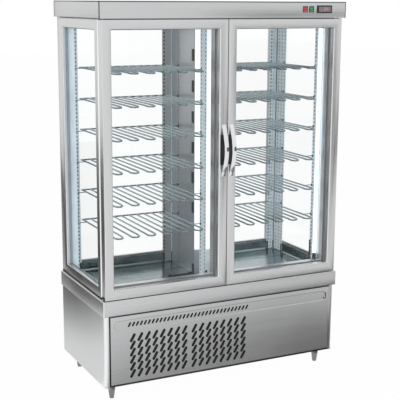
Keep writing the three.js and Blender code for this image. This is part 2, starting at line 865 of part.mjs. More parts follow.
function addShelves() {
  for (const [bay, side] of [['left', -1], ['right', 1]]) {
    shelfHeights.forEach((top, level) => {
      addPart(`${bay}_shelf_${level + 1}`, toGeometry(shelfPlate(side, top)), chrome);
    });
  }
}

function addLamp(name, side) {
  const x = side * (halfWidth - lampSideInset);
  const y = -halfDepth + lampFrontInset;
  const profile = [
    [0, standardBottom],
    [lampCapRadius, standardBottom],
    [lampCapRadius, standardBottom + lampCapLength],
    [lampRadius, standardBottom + lampCapLength],
    [lampRadius, frameTop - lampCapLength],
    [lampCapRadius, frameTop - lampCapLength],
    [lampCapRadius, frameTop],
    [0, frameTop],
  ];
  addPart(name, toGeometry(turned(profile, x, y)), lampGlass);
}

// Doors

const doorOuter = halfWidth - doorSideInset;
const doorMeeting = doorMeetingGap / 2;
const doorBottom = bandTop + doorBottomGap;
const doorTop = capBottom - doorTopGap;
const hingeX = doorOuter - hingeInset;
const hingeY = doorFront + hingeSetback;

function addDoor(hand, side) {
  const glassFront = doorBack - fitGap - glassThickness;
  const body = block(side * doorMeeting, side * doorOuter, doorFront, doorBack, doorBottom, doorTop);
  const [a, b] = [doorMeeting + doorStile, doorOuter - doorStile];
  const [low, high] = [doorBottom + doorBottomRail, doorTop - doorTopRail];
  const window = block(side * a, side * b, doorFront - cutOverrun, doorBack + cutOverrun, low, high);
  const capture = glassCapture;
  const rebate = block(
    side * (a - capture), side * (b + capture), glassFront - fitGap, doorBack + cutOverrun,
    low - capture, high + capture,
  );
  const boreRadius = hingePinRadius + runningGap;
  const boreDepth = hingePinReach + runningGap;
  const bores = [
    rod(boreRadius, side * hingeX, hingeY, doorBottom - cutOverrun, doorBottom + boreDepth),
    rod(boreRadius, side * hingeX, hingeY, doorTop - boreDepth, doorTop + cutOverrun),
  ];
  addPart(`${hand}_door_frame`, toGeometry(cut(body, [window, rebate, ...bores])), anodisedFrame);
  const held = capture - fitGap;
  const glass = block(
    side * (a - held), side * (b + held), glassFront, doorBack - fitGap, low - held, high + held,
  );
  addPart(`${hand}_door_glass`, toGeometry(glass), glazing);
  addGasket(hand, side);
  addHandle(hand, side);
  addHingePins(hand, side);
}

function addGasket(hand, side) {
  const inset = gasketInset;
  const wide = gasketInset + gasketWidth;
  const [y0, y1] = [doorBack + fitGap, frameFront - 2 * fitGap];
  const outer = block(
    side * (doorMeeting + inset), side * (doorOuter - inset), y0, y1, doorBottom + inset, doorTop - inset,
  );
  const inner = block(
    side * (doorMeeting + wide), side * (doorOuter - wide), y0 - cutOverrun, y1 + cutOverrun,
    doorBottom + wide, doorTop - wide,
  );
  addPart(`${hand}_gasket`, toGeometry(outer.subtract(inner)), rubber);
}

// A bowed strap: two arcs between flat feet on the door's face
function addHandle(hand, side) {
  const face = doorFront - fitGap;
  const bottom = bandTop + handleBottom;
  const reach = handleReach - fitGap;
  const span = handleLength - 2 * handleFootLength;
  const bow = (share, outwards) => {
    const z = bottom + handleFootLength + share * span;
    return [face - outwards * Math.sin(share * Math.PI), z];
  };
  const points = [[face, bottom]];
  for (let step = 0; step <= handleSteps; step += 1) {
    const [y, z] = bow(step / handleSteps, reach - handleThickness);
    points.push([y - handleThickness, z]);
  }
  points.push([face, bottom + handleLength]);
  for (let step = handleSteps; step >= 0; step -= 1) {
    points.push(bow(step / handleSteps, reach - handleThickness));
  }
  const near = side * (doorMeeting + handleInset) - handleWidth / 2;
  addPart(`${hand}_handle`, toGeometry(lateral(outline(points), near, near + handleWidth)), chrome);
}

function addHingePins(hand, side) {
  const x = side * hingeX;
  const lowerHead = bandTop - sheet - fitGap;
  const lower = [
    [0, lowerHead - hingeHeadHeight],
    [hingeHeadRadius, lowerHead - hingeHeadHeight],
    [hingeHeadRadius, lowerHead],
    [hingePinRadius, lowerHead],
    [hingePinRadius, doorBottom + hingePinReach],
    [0, doorBottom + hingePinReach],
  ];
  const upperHead = capBottom + fitGap + sheet + fitGap;
  const upper = [
    [0, doorTop - hingePinReach],
    [hingePinRadius, doorTop - hingePinReach],
    [hingePinRadius, upperHead],
    [hingeHeadRadius, upperHead],
    [hingeHeadRadius, upperHead + hingeHeadHeight],
    [0, upperHead + hingeHeadHeight],
  ];
  addPart(`${hand}_lower_hinge_pin`, toGeometry(turned(lower, x, hingeY, smallRoundSides)), brushedSteel);
  addPart(`${hand}_upper_hinge_pin`, toGeometry(turned(upper, x, hingeY, smallRoundSides)), brushedSteel);
}

// Cap and controls

const switchZ = capBottom + switchRise;
const switchXs = [0, 1].map(index => halfWidth - firstSwitchInset + index * switchPitch);
const controllerX = halfWidth - controllerInset;
const capInnerFront = -halfDepth + sheet;

function addCap() {
  const bottom = capBottom + fitGap;
  const outer = block(-halfWidth, halfWidth, -halfDepth, halfDepth, bottom, cabinetHeight);
  const hollow = block(
    -halfWidth + sheet, halfWidth - sheet, capInnerFront, halfDepth - sheet,
    bottom - cutOverrun, cabinetHeight - sheet,
  );
  const cutouts = switchXs.map(x => controlCutout(x, switchWidth, switchHeight));
  cutouts.push(controlCutout(controllerX, controllerBodyWidth, controllerBodyHeight));
  addPart('top_cap', toGeometry(cut(outer, [hollow, ...cutouts])), brushedSteel);
}

function controlCutout(x, width, height) {
  const [halfX, halfZ] = [width / 2 + fitGap, height / 2 + fitGap];
  return block(
    x - halfX, x + halfX, -halfDepth - cutOverrun, capInnerFront + cutOverrun,
    switchZ - halfZ, switchZ + halfZ,
  );
}

function addCapFloor() {
  const [halfX, halfY] = [halfWidth - sheet - fitGap, halfDepth - sheet - fitGap];
  const bottom = capBottom + fitGap;
  const plate = block(-halfX, halfX, -halfY, halfY, bottom, bottom + sheet);
  const pinHoles = [-1, 1].map(side => rod(
    hingePinRadius + fitGap, side * hingeX, hingeY, bottom - cutOverrun, bottom + sheet + cutOverrun,
  ));
  addPart('cap_floor', toGeometry(cut(plate, pinHoles)), brushedSteel);
}

const switchFace = -halfDepth - switchStandProud;
const rockerPivotY = -halfDepth + rockerThickness / 2;

function addSwitches() {
  const plateFront = capInnerFront + fitGap;
  const plateBack = plateFront + switchBodyDepth;
  const [halfX, halfZ] = [switchWidth / 2, switchHeight / 2];
  const margin = switchBodyMargin;
  const plate = block(
    switchXs[0] - halfX - margin, switchXs[1] + halfX + margin, plateFront, plateBack,
    switchZ - halfZ - margin, switchZ + halfZ + margin,
  );
  const bezels = switchXs.map(x => block(
    x - halfX, x + halfX, switchFace, plateBack, switchZ - halfZ, switchZ + halfZ,
  ));
  const [pocketX, pocketZ] = [halfX - switchRimWidth, halfZ - switchRimWidth];
  const pockets = switchXs.map(x => block(
    x - pocketX, x + pocketX, switchFace - cutOverrun, plateBack - sheet,
    switchZ - pocketZ, switchZ + pocketZ,
  ));
  const pinReach = pocketX + rockerPinLength + fitGap;
  const pinHoles = switchXs.map(x => rockerPin(x, rockerPinRadius + fitGap, pinReach));
  const body = cut(joined([plate, ...bezels]), [...pockets, ...pinHoles]);
  addPart('switch_body', toGeometry(body), blackPlastic);
  addRocker('red_rocker', switchXs[0], pocketX, pocketZ, redLens);
  addRocker('green_rocker', switchXs[1], pocketX, pocketZ, greenLens);
}

function rockerPin(x, radius, reach) {
  const geometry = new THREE.CylinderGeometry(radius, radius, 2 * reach, smallRoundSides);
  geometry.rotateZ(Math.PI / 2);
  return toSolid(geometry.translate(x, rockerPivotY, switchZ));
}

// A rocker is lower in the middle than at its ends, and rests tipped one way
function addRocker(name, x, pocketX, pocketZ, material) {
  const halfX = pocketX - rockerSideGap;
  const halfZ = pocketZ - rockerEndGap;
  const frontEnd = switchFace - rockerPivotY;
  const frontMiddle = frontEnd + switchStandProud;
  const back = rockerThickness / 2;
  const shape = outline([
    [frontEnd, -halfZ],
    [0, -halfZ],
    [back, -halfZ / 2],
    [back, halfZ / 2],
    [0, halfZ],
    [frontEnd, halfZ],
    [frontMiddle, 0],
  ]);
  const body = toGeometry(lateral(shape, -halfX, halfX));
  body.rotateX(THREE.MathUtils.degToRad(-rockerTilt));
  body.translate(x, rockerPivotY, switchZ);
  const pin = rockerPin(x, rockerPinRadius, pocketX + rockerPinLength);
  addPart(name, toGeometry(joined([toSolid(body), pin])), material);
}

function addController() {
  const [halfX, halfZ] = [controllerWidth / 2, controllerHeight / 2];
  const [bodyX, bodyZ] = [controllerBodyWidth / 2, controllerBodyHeight / 2];
  const face = -halfDepth - fitGap;
  const bezel = block(
    controllerX - halfX, controllerX + halfX, face - controllerBezel, face, switchZ - halfZ, switchZ + halfZ,
  );
  const body = block(
    controllerX - bodyX, controllerX + bodyX, face - controllerBezel / 2, face + controllerBodyDepth,
    switchZ - bodyZ, switchZ + bodyZ,
  );
  addPart('temperature_controller', toGeometry(joined([bezel, body])), blackPlastic);
}

addFeet();
addCasing();
addDeckBand();
addTub();
addFrontPanel();
addGland();
addCondenser();
addShroud();
addCondenserFan();
addCompressor();
addSideFrame('left_side_frame', 'left_side_glass', -1);
addSideFrame('right_side_frame', 'right_side_glass', 1);
addBackFrame();
addFrontFrame();
addBackPost('back_left_post', -1);
addBackPost('back_right_post', 1);
addFrontPost('front_left_post', -1);
addFrontPost('front_right_post', 1);
addCentrePost();
addAirDuct();
addEvaporator();
addBlower();
addShelves();
addLamp('left_lamp', -1);
addLamp('right_lamp', 1);
addDoor('left', -1);
addDoor('right', 1);
addCap();
addCapFloor();
addSwitches();
addController();

export default cabinet;
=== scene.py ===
"""Finished look of a two-door refrigerated glass display cabinet with fixed wire shelves.

Metres, +Z up. The cabinet stands on z = 0, its doors face -Y and +X is to the right.
"""
import logging
import math
from collections.abc import Callable, Iterable, Sequence
from dataclasses import dataclass, field
from enum import Enum

import bmesh
import bpy
from bmesh.types import BMEdge, BMFace, BMVert
from mathutils import Matrix, Vector


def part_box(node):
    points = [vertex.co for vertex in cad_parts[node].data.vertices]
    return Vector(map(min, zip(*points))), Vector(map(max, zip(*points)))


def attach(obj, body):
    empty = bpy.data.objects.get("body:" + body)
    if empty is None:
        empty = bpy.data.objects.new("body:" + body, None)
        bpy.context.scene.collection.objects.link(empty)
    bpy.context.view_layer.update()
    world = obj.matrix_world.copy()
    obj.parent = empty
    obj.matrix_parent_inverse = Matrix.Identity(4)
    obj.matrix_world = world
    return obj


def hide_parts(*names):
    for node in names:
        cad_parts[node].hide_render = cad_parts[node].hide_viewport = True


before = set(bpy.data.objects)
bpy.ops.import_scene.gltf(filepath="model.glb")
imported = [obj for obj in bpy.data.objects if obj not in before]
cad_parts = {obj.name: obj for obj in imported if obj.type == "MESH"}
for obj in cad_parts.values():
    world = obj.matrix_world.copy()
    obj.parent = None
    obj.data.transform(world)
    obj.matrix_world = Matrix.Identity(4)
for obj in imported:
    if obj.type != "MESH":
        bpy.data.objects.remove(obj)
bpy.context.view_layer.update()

SHARP_ANGLE = math.radians(24)
SMOOTH_ANGLE = math.radians(38)
MERGE = 1e-6
CAD_MERGE = MERGE * 20
COPLANAR = math.radians(1)
FACING = 0.999
SEAL_EDGE = 0.0004
PANE_EDGE = 0.0006
ROD_STEPS = 20
UP = Vector((0.0, 0.0, 1.0))
BACKWARD = Vector((0.0, 1.0, 0.0))
WHITE = (1.0, 1.0, 1.0)

Tone = tuple[float, float, float]
Paint = int | Callable[[BMFace], int]

logging.basicConfig(level=logging.INFO, format="%(message)s")
log = logging.getLogger("cabinet")


class Side(Enum):
    """A hand of the cabinet, as the sign of its X."""

    LEFT = -1
    RIGHT = 1

    @property
    def word(self) -> str:
        """The hand as node names write it."""
        return self.name.lower()

    @property
    def other(self) -> "Side":
        """The opposite hand."""
        return Side(-self.value)


class Plane(Enum):
    """The two axes that an outline is drawn on, then the axis of its depth."""

    FRONT = (0, 2, 1)
    SIDE = (1, 2, 0)
    PLAN = (0, 1, 2)

    def point(self, u: float, v: float, w: float) -> Vector:
        """Returns the place of a point of an outline.

        Args:
            u: Its first measure in the plane.
            v: Its second measure in the plane.
            w: Its depth.

        Returns:
            The place.
        """
        place = Vector((0.0, 0.0, 0.0))
        for axis, value in zip(self.value, (u, v, w)):
            place[axis] = value
        return place


class Grain(Enum):
    """Which way brushed lines run, as how fast the pattern changes along X, Y and Z."""

    ALONG_X = (2.0, 150.0, 150.0)
    ALONG_Y = (150.0, 2.0, 150.0)
    ALONG_Z = (150.0, 150.0, 2.0)
    NONE = (60.0, 60.0, 60.0)


@dataclass(frozen=True)
class Extent:
    """The lowest and highest corner of a box."""

    low: Vector
    high: Vector

    @classmethod
    def of(cls, node: str) -> "Extent":
        """Returns the box of a CAD node."""
        return cls(*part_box(node))

    @property
    def middle(self) -> Vector:
        """The centre of the box."""
        return (self.low + self.high) / 2

    @property
    def size(self) -> Vector:
        """The lengths of the box."""
        return self.high - self.low

    def rect(self, plane: Plane) -> "Rect":
        """Returns the box's outline in a plane."""
        a, b, _ = plane.value
        return Rect(self.low[a], self.high[a], self.low[b], self.high[b])

    def wall(self, side: Side) -> float:
        """Returns the X of the box's face on a side."""
        return self.high.x if side is Side.RIGHT else self.low.x


@dataclass(frozen=True)
class Rect:
    """An upright rectangle in a plane."""

    u0: float
    u1: float
    v0: float
    v1: float

    def inset(self, by: float) -> "Rect":
        """Returns the rectangle drawn in by the same amount on each side."""
        return Rect(self.u0 + by, self.u1 - by, self.v0 + by, self.v1 - by)

    def towards(self, inner: "Rect", share: float, by: float) -> "Rect":
        """Returns the rectangle at a share of the way to an inner one, then inset."""
        pairs = zip((self.u0, self.u1, self.v0, self.v1), (inner.u0, inner.u1, inner.v0, inner.v1))
        return Rect(*[a + (b - a) * share for a, b in pairs]).inset(by)

    def corners(self) -> list[tuple[float, float]]:
        """Returns the four corners in order."""
        return [(self.u0, self.v0), (self.u1, self.v0), (self.u1, self.v1), (self.u0, self.v1)]


@dataclass(frozen=True)
class Slot:
    """A slot with round or square ends in a sheet."""

    u: float
    v: float
    width: float
    length: float
    lean: float = 0.0
    sides: int = 4


def longest_upright(face: BMFace) -> int:
    """Tells a face along a stile from one along a rail, as a material index.

    Args:
        face: The face.

    Returns:
        1 where the face is longest upright, and 0 where it isn't.
    """
    places = [vert.co for vert in face.verts]
    reach = [max(p[axis] for p in places) - min(p[axis] for p in places) for axis in range(3)]
    return int(reach[2] > max(reach[0], reach[1]))


def midways(places: Sequence[float]) -> list[float]:
    """Returns the places halfway between neighbours."""
    ordered = sorted(places)
    return [(a + b) / 2 for a, b in zip(ordered, ordered[1:])]


def spans(face: BMFace, axis: int, place: float) -> bool:
    """Tells whether a face reaches past a place on both sides."""
    reach = [v.co[axis] for v in face.verts]
    return min(reach) < place < max(reach)


def drum(radius: float, low: float, high: float) -> list[tuple[float, float]]:
    """Returns the profile of a cylinder between two heights, to be spun."""
    return [(0, low), (radius, low), (radius, high), (0, high)]


class Bench:
    """A mesh under construction: shapes are added and dressed, then handed over as one piece."""

    def __init__(self) -> None:
        self.bm = bmesh.new()
        self.done = self.bm.faces.layers.int.new("done")

    def fresh(self) -> list[BMFace]:
        """Returns the faces that aren't finished yet."""
        return [f for f in self.bm.faces if not f[self.done]]

    def merge(self, distance: float) -> None:
        """Joins the vertices of unfinished faces that lie within a distance."""
        verts = list({v for f in self.fresh() for v in f.verts})
        bmesh.ops.remove_doubles(self.bm, verts=verts, dist=distance)

    def take(
        self, bevel: float = 0.0, segments: int = 2, paint: Paint = 0, turn: bool = True,
    ) -> list[BMFace]:
        """Finishes the faces added since the last call.

        Args:
            bevel: Width of the rounding on the new sharp edges.
            segments: Steps of that rounding.
            paint: Material index, or a function that gives it for a face.
            turn: Whether the normals are worked out again.

        Returns:
            The new faces.
        """
        self.merge(MERGE)
        fresh = self.fresh()
        if turn:
            bmesh.ops.recalc_face_normals(self.bm, faces=fresh)
        if bevel > 0.0:
            edges = {e for f in fresh for e in f.edges if e.is_manifold}
            self.round([e for e in edges if e.calc_face_angle(0.0) > SHARP_ANGLE], bevel, segments)
            fresh = self.fresh()
        for face in fresh:
            face.material_index = paint(face) if callable(paint) else paint
            face[self.done] = 1
            face.smooth = True
        return fresh

    def round(self, edges: Sequence[BMEdge], width: float, segments: int) -> None:
        """Rounds edges.

        Args:
            edges: The edges.
            width: Width of the rounding.
            segments: Steps of the rounding.
        """
        bmesh.ops.bevel(
            self.bm, geom=list(edges), offset=width, offset_type="OFFSET", segments=segments,
            profile=0.5, affect="EDGES", material=-1, clamp_overlap=True,
        )

    def cube(self, box: Extent) -> list[BMVert]:
        """Adds a bare box and returns its vertices."""
        matrix = Matrix.Translation(box.middle) @ Matrix.Diagonal((*box.size, 1.0))
        return bmesh.ops.create_cube(self.bm, size=1.0, matrix=matrix)["verts"]

    def block(
        self, low: Sequence[float], high: Sequence[float],
        bevel: float = 0.0, segments: int = 2, paint: Paint = 0,
    ) -> list[BMFace]:
        """Adds a box with rounded edges.

        Args:
            low: One corner.
            high: The corner opposite; which of the two is lower doesn't matter.
            bevel: Width of the rounding.
            segments: Steps of the rounding.
            paint: Material index or function.

        Returns:
            The new faces.
        """
        pairs = list(zip(low, high))
        box = Extent(Vector([min(p) for p in pairs]), Vector([max(p) for p in pairs]))
        self.cube(box)
        return self.take(bevel, segments, paint)

    def loop(self, points: Iterable[Vector]) -> list[BMEdge]:
        """Adds a closed loop of edges through the points."""
        verts = [self.bm.verts.new(p) for p in points]
        return [self.bm.edges.new((verts[i - 1], verts[i])) for i in range(len(verts))]

    def ring(
        self, outer: Rect, inner: Rect, profile: Sequence[tuple[float, float, float]], plane: Plane,
        bevel: float = 0.0, segments: int = 2, paint: Paint = 0,
    ) -> list[BMFace]:
        """Sweeps a closed profile round a rectangle, mitred at its corners.

        Args:
            outer: Rectangle at share 0.
            inner: Rectangle at share 1.
            profile: Triples of share, further inset and depth.
            plane: The plane of the rectangles.
            bevel: Width of the rounding on sharp edges.
            segments: Steps of the rounding.
            paint: Material index or function.

        Returns:
            The new faces.
        """
        places = [[plane.point(u, v, depth) for u, v in outer.towards(inner, share, by).corners()]
                  for share, by, depth in profile]
        edges = self.loop(places[0])
        for here, there in zip(places, places[1:] + places[:1]):
            grown = bmesh.ops.extrude_edge_only(self.bm, edges=edges)["geom"]
            verts = {g for g in grown if isinstance(g, BMVert)}
            for vert in verts:
                gaps = [(corner - vert.co).length for corner in here]
                vert.co = there[gaps.index(min(gaps))]
            edges = [g for g in grown if isinstance(g, BMEdge) and verts.issuperset(g.verts)]
        return self.take(bevel, segments, paint)

    def band(
        self, rect: Rect, width: float, start: float, end: float, plane: Plane,
        bevel: float = 0.0, segments: int = 2,
    ) -> list[BMFace]:
        """Adds a band of sheet that runs round the inside of a rectangle.

        Args:
            rect: The rectangle, which the band's outside follows.
            width: Thickness of the band.
            start: Depth where it starts.
            end: Depth where it ends.
            plane: The plane of the rectangle.
            bevel: Width of the rounding on its edges.
            segments: Steps of the rounding.

        Returns:
            The new faces.
        """
        profile = [(0, 0, start), (0, 0, end), (0, width, end), (0, width, start)]
        return self.ring(rect, rect, profile, plane, bevel, segments)

    def seal(self, window: Rect, width: float, depth: float, proud: float, plane: Plane) -> list[BMFace]:
        """Adds a three-cornered seal round the inside of a window.

        Args:
            window: The window in the frame.
            width: How far the seal reaches over the glass.
            depth: Depth of the glass's face.
            proud: Depth of the seal's crest.
            plane: The plane of the window.

        Returns:
            The new faces.
        """
        profile = [(0, 0, depth), (0, 0, proud), (0, width, depth)]
        return self.ring(window, window, profile, plane, SEAL_EDGE, 1)

    def slot_loop(self, slot: Slot, plane: Plane, depth: float) -> list[BMEdge]:
        """Adds the outline of a slot: a circle whose halves are drawn apart, then leant over.

        Args:
            slot: The slot.
            plane: The plane that it lies in.
            depth: The depth of the outline.

        Returns:
            Its edges.
        """
        half_step = math.pi / slot.sides
        radius = slot.width / 2 / math.cos(half_step)
        verts = bmesh.ops.create_circle(
            self.bm, segments=slot.sides, radius=radius, matrix=Matrix.Rotation(half_step, 4, "Z"),
        )["verts"]
        reach = (slot.length - slot.width) / 2
        for sign in (-1, 1):
            half = [v for v in verts if v.co.y * sign > 0]
            bmesh.ops.translate(self.bm, vec=(0.0, sign * reach, 0.0), verts=half)
        bmesh.ops.rotate(self.bm, verts=verts, matrix=Matrix.Rotation(-slot.lean, 3, "Z"))
        for vert in verts:
            vert.co = plane.point(slot.u + vert.co.x, slot.v + vert.co.y, depth)
        return list({e for v in verts for e in v.link_edges})

    def fill(self, edges: Sequence[BMEdge], plane: Plane) -> list[BMFace]:
        """Fills an outline and leaves the loops inside it open.

        Args:
            edges: The edges of the outline and of the loops.
            plane: The plane that they lie in.

        Returns:
            The new faces.
        """
        made = bmesh.ops.triangle_fill(
            self.bm, use_beauty=True, use_dissolve=False, edges=list(edges),
            normal=plane.point(0.0, 0.0, 1.0),
        )
        return [g for g in made["geom"] if isinstance(g, BMFace)]

    def thicken(self, faces: Sequence[BMFace], step: Vector) -> None:
        """Makes a solid sheet from faces by drawing a copy of them away."""
        made = bmesh.ops.extrude_face_region(self.bm, geom=list(faces))
        bmesh.ops.translate(self.bm, vec=step, verts=[g for g in made["geom"] if isinstance(g, BMVert)])

    def divide(self, faces: Sequence[BMFace], axis: int, places: Sequence[float]) -> list[BMFace]:
        """Cuts flat faces apart.

        Args:
            faces: The faces.
            axis: The axis that the cuts are square to.
            places: Where the cuts lie on it.

        Returns:
            What the faces became.
        """
        across = Vector([float(index == axis) for index in range(3)])
        faces = list(faces)
        for place in places:
            edges = {e for f in faces for e in f.edges}
            verts = {v for f in faces for v in f.verts}
            cut = bmesh.ops.bisect_plane(
                self.bm, geom=[*faces, *edges, *verts], dist=MERGE, plane_co=across * place, plane_no=across,
            )
            faces = [g for g in cut["geom"] if isinstance(g, BMFace)]
        return faces

    def pierce(self, face: BMFace, slots: Sequence[Slot], plane: Plane, depth: float) -> list[BMFace]:
        """Opens slots in one flat face.

        Args:
            face: The face.
            slots: The slots.
            plane: The plane of the face.
            depth: The depth of the face.

        Returns:
            The faces round the slots.
        """
        edges = list(face.edges)
        bmesh.ops.delete(self.bm, geom=[face], context="FACES_ONLY")
        for slot in slots:
            edges += self.slot_loop(slot, plane, depth)
        return self.fill(edges, plane)

    def pierce_columns(
        self, faces: Sequence[BMFace], columns: Sequence[Sequence[Slot]], plane: Plane, depth: float,
    ) -> list[BMFace]:
        """Opens columns of slots in flat faces, each column in a strip of its own.

        Args:
            faces: The faces, which hold whole strips.
            columns: Slots by column, in order.
            plane: The plane of the faces.
            depth: The depth of the faces.

        Returns:
            The faces round the slots and beside them.
        """
        across = plane.value[0]
        strips = self.divide(faces, across, midways([column[0].u for column in columns]))
        for column in columns:
            strip = next(f for f in strips if spans(f, across, column[0].u))
            strips.remove(strip)
            strips += self.pierce(strip, column, plane, depth)
        return strips

    def plate(
        self, rect: Rect, columns: Sequence[Sequence[Slot]], plane: Plane, near: float, far: float,
    ) -> list[BMFace]:
        """Adds a flat sheet between two depths, with columns of slots, each slot in a cell of its own.

        Args:
            rect: Outline of the sheet.
            columns: Slots by column, in order.
            plane: The plane of the sheet.
            near: Depth of its face.
            far: Depth of its back.

        Returns:
            The new faces.
        """
        across, along, _ = plane.value
        outline = self.loop(plane.point(u, v, near) for u, v in rect.corners())
        sheet = bmesh.ops.contextual_create(self.bm, geom=outline)["faces"]
        strips = self.divide(sheet, across, midways([column[0].u for column in columns]))
        whole = [f for f in strips if not any(spans(f, across, column[0].u) for column in columns)]
        for column in columns:
            strip = next(f for f in strips if spans(f, across, column[0].u))
            strips.remove(strip)
            cells = self.divide([strip], along, midways([slot.v for slot in column]))
            for slot in column:
                cell = next(f for f in cells if spans(f, along, slot.v))
                cells.remove(cell)
                whole += self.pierce(cell, [slot], plane, near)
        self.thicken(whole, plane.point(0.0, 0.0, far - near))
        return self.take()

    def lathe(
        self, profile: Sequence[tuple[float, float]], foot: Vector, axis: Vector, steps: int,
        paint: Paint = 0,
    ) -> list[BMFace]:
        """Spins a profile all the way round.

        Args:
            profile: Pairs of radius and height, which start and end on the axis or close on themselves.
            foot: The place on the axis where the height is 0.
            axis: Direction of the axis.
            steps: Steps of the spin.
            paint: Material index or function.

        Returns:
            The new faces.
        """
        across = axis.orthogonal().normalized()
        verts = [self.bm.verts.new(foot + across * radius + axis * height) for radius, height in profile]
        edges = [self.bm.edges.new(pair) for pair in zip(verts, verts[1:])]
        bmesh.ops.spin(
            self.bm, geom=verts + edges, cent=foot, axis=axis, angle=2 * math.pi,
            steps=steps, use_merge=True, use_duplicate=False,
        )
        return self.take(paint=paint)

    def rod(self, start: Vector, end: Vector, radius: float) -> list[BMFace]:
        """Adds a straight round rod."""
        reach = end - start
        return self.lathe(drum(radius, 0, reach.length), start, reach.normalized(), ROD_STEPS)

    def wire(
        self, points: Sequence[Vector], radius: float, resolution: int = 2, paint: Paint = 0,
    ) -> list[BMFace]:
        """Adds a round wire, by way of a curve that is made a mesh.

        Args:
            points: The corners of its path.
            radius: Radius of the wire.
            resolution: How finely the curve's section is divided.
            paint: Material index or function.

        Returns:
            The new faces.
        """
        curve = bpy.data.curves.new("wire", "CURVE")
        curve.dimensions = "3D"
        curve.bevel_depth = radius
        curve.bevel_resolution = resolution
        curve.use_fill_caps = True
        spline = curve.splines.new("POLY")
        spline.points.add(len(points) - 1)
        for target, point in zip(spline.points, points):
            target.co = (*point, 1.0)
        holder = bpy.data.objects.new("wire", curve)
        mesh = bpy.data.meshes.new_from_object(holder)
        self.bm.from_mesh(mesh)
        bpy.data.objects.remove(holder)
        bpy.data.curves.remove(curve)
        bpy.data.meshes.remove(mesh)
        return self.take(paint=paint)

    def copy_node(self, node: str, bevel: float, segments: int = 2, paint: Paint = 0) -> list[BMFace]:
        """Adds a merged copy of a CAD node's mesh with rounded edges.

        Args:
            node: The CAD node.
            bevel: Width of the rounding.
            segments: Steps of the rounding.
            paint: Material index or function.

        Returns:
            The new faces.
        """
        self.bm.from_mesh(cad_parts[node].data)
        self.merge(CAD_MERGE)
        fresh = self.fresh()
        bmesh.ops.dissolve_limit(
            self.bm, angle_limit=COPLANAR, verts=list({v for f in fresh for v in f.verts}),
            edges=list({e for f in fresh for e in f.edges}),
        )
        return self.take(bevel, segments, paint, turn=False)

    def piece(
        self, name: str, finishes: Sequence[bpy.types.Material], body: str,
        replaces: Sequence[str] = (),
    ) -> bpy.types.Object:
        """Hands the mesh over as a named piece.

        Args:
            name: The piece's name.
            finishes: Its materials, in the order of the material indices.
            body: The CAD body that it rides on.
            replaces: CAD nodes that it stands for.

        Returns:
            The new object.
        """
        self.bm.faces.layers.int.remove(self.done)
        mesh = bpy.data.meshes.new(name)
        self.bm.to_mesh(mesh)
        self.bm.free()
        mesh.set_sharp_from_angle(angle=SMOOTH_ANGLE)
        for finish in finishes:
            mesh.materials.append(finish)
        made = bpy.data.objects.new(name, mesh)
        bpy.context.scene.collection.objects.link(made)
        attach(made, body)
        if replaces:
            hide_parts(*replaces)
        log.info("%s: %d faces on %s", name, len(mesh.polygons), body)
        return made


def box_piece(
    name: str, low: Sequence[float], high: Sequence[float], bevel: float, segments: int,
    finish: bpy.types.Material, body: str, replaces: Sequence[str] = (),
) -> None:
    """Makes a piece of one box with rounded edges.

    Args:
        name: The piece's name.
        low: One corner of the box.
        high: The corner opposite.
        bevel: Width of the rounding.
        segments: Steps of the rounding.
        finish: Its material.
        body: The CAD body that it rides on.
        replaces: CAD nodes that it stands for.
    """
    work = Bench()
    work.block(low, high, bevel, segments)
    work.piece(name, [finish], body, replaces)


def pane(node: str, finish: bpy.types.Material, body: str) -> None:
    """Makes a pane with arrissed edges in place of a CAD pane."""
    box = Extent.of(node)
    box_piece(f"{node}_pane", box.low, box.high, PANE_EDGE, 1, finish, body, [node])


def rounded_node(
    node: str, name: str, finishes: Sequence[bpy.types.Material], body: str,
    bevel: float, segments: int = 2, paint: Paint = 0,
) -> None:
    """Makes a piece of a CAD node's own shape with rounded edges.

    Args:
        node: The CAD node.
        name: The piece's name.
        finishes: Its materials.
        body: The CAD body that it rides on.
        bevel: Width of the rounding.
        segments: Steps of the rounding.
        paint: Material index or function.
    """
    work = Bench()
    work.copy_node(node, bevel, segments, paint)
    work.piece(name, finishes, body, [node])


def dress(node: str, finish: bpy.types.Material) -> None:
    """Gives a CAD node that stays as it is its finish.

    Args:
        node: The CAD node.
        finish: Its material.
    """
    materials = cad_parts[node].data.materials
    materials.clear()
    materials.append(finish)
    log.info("%s keeps its CAD shape", node)


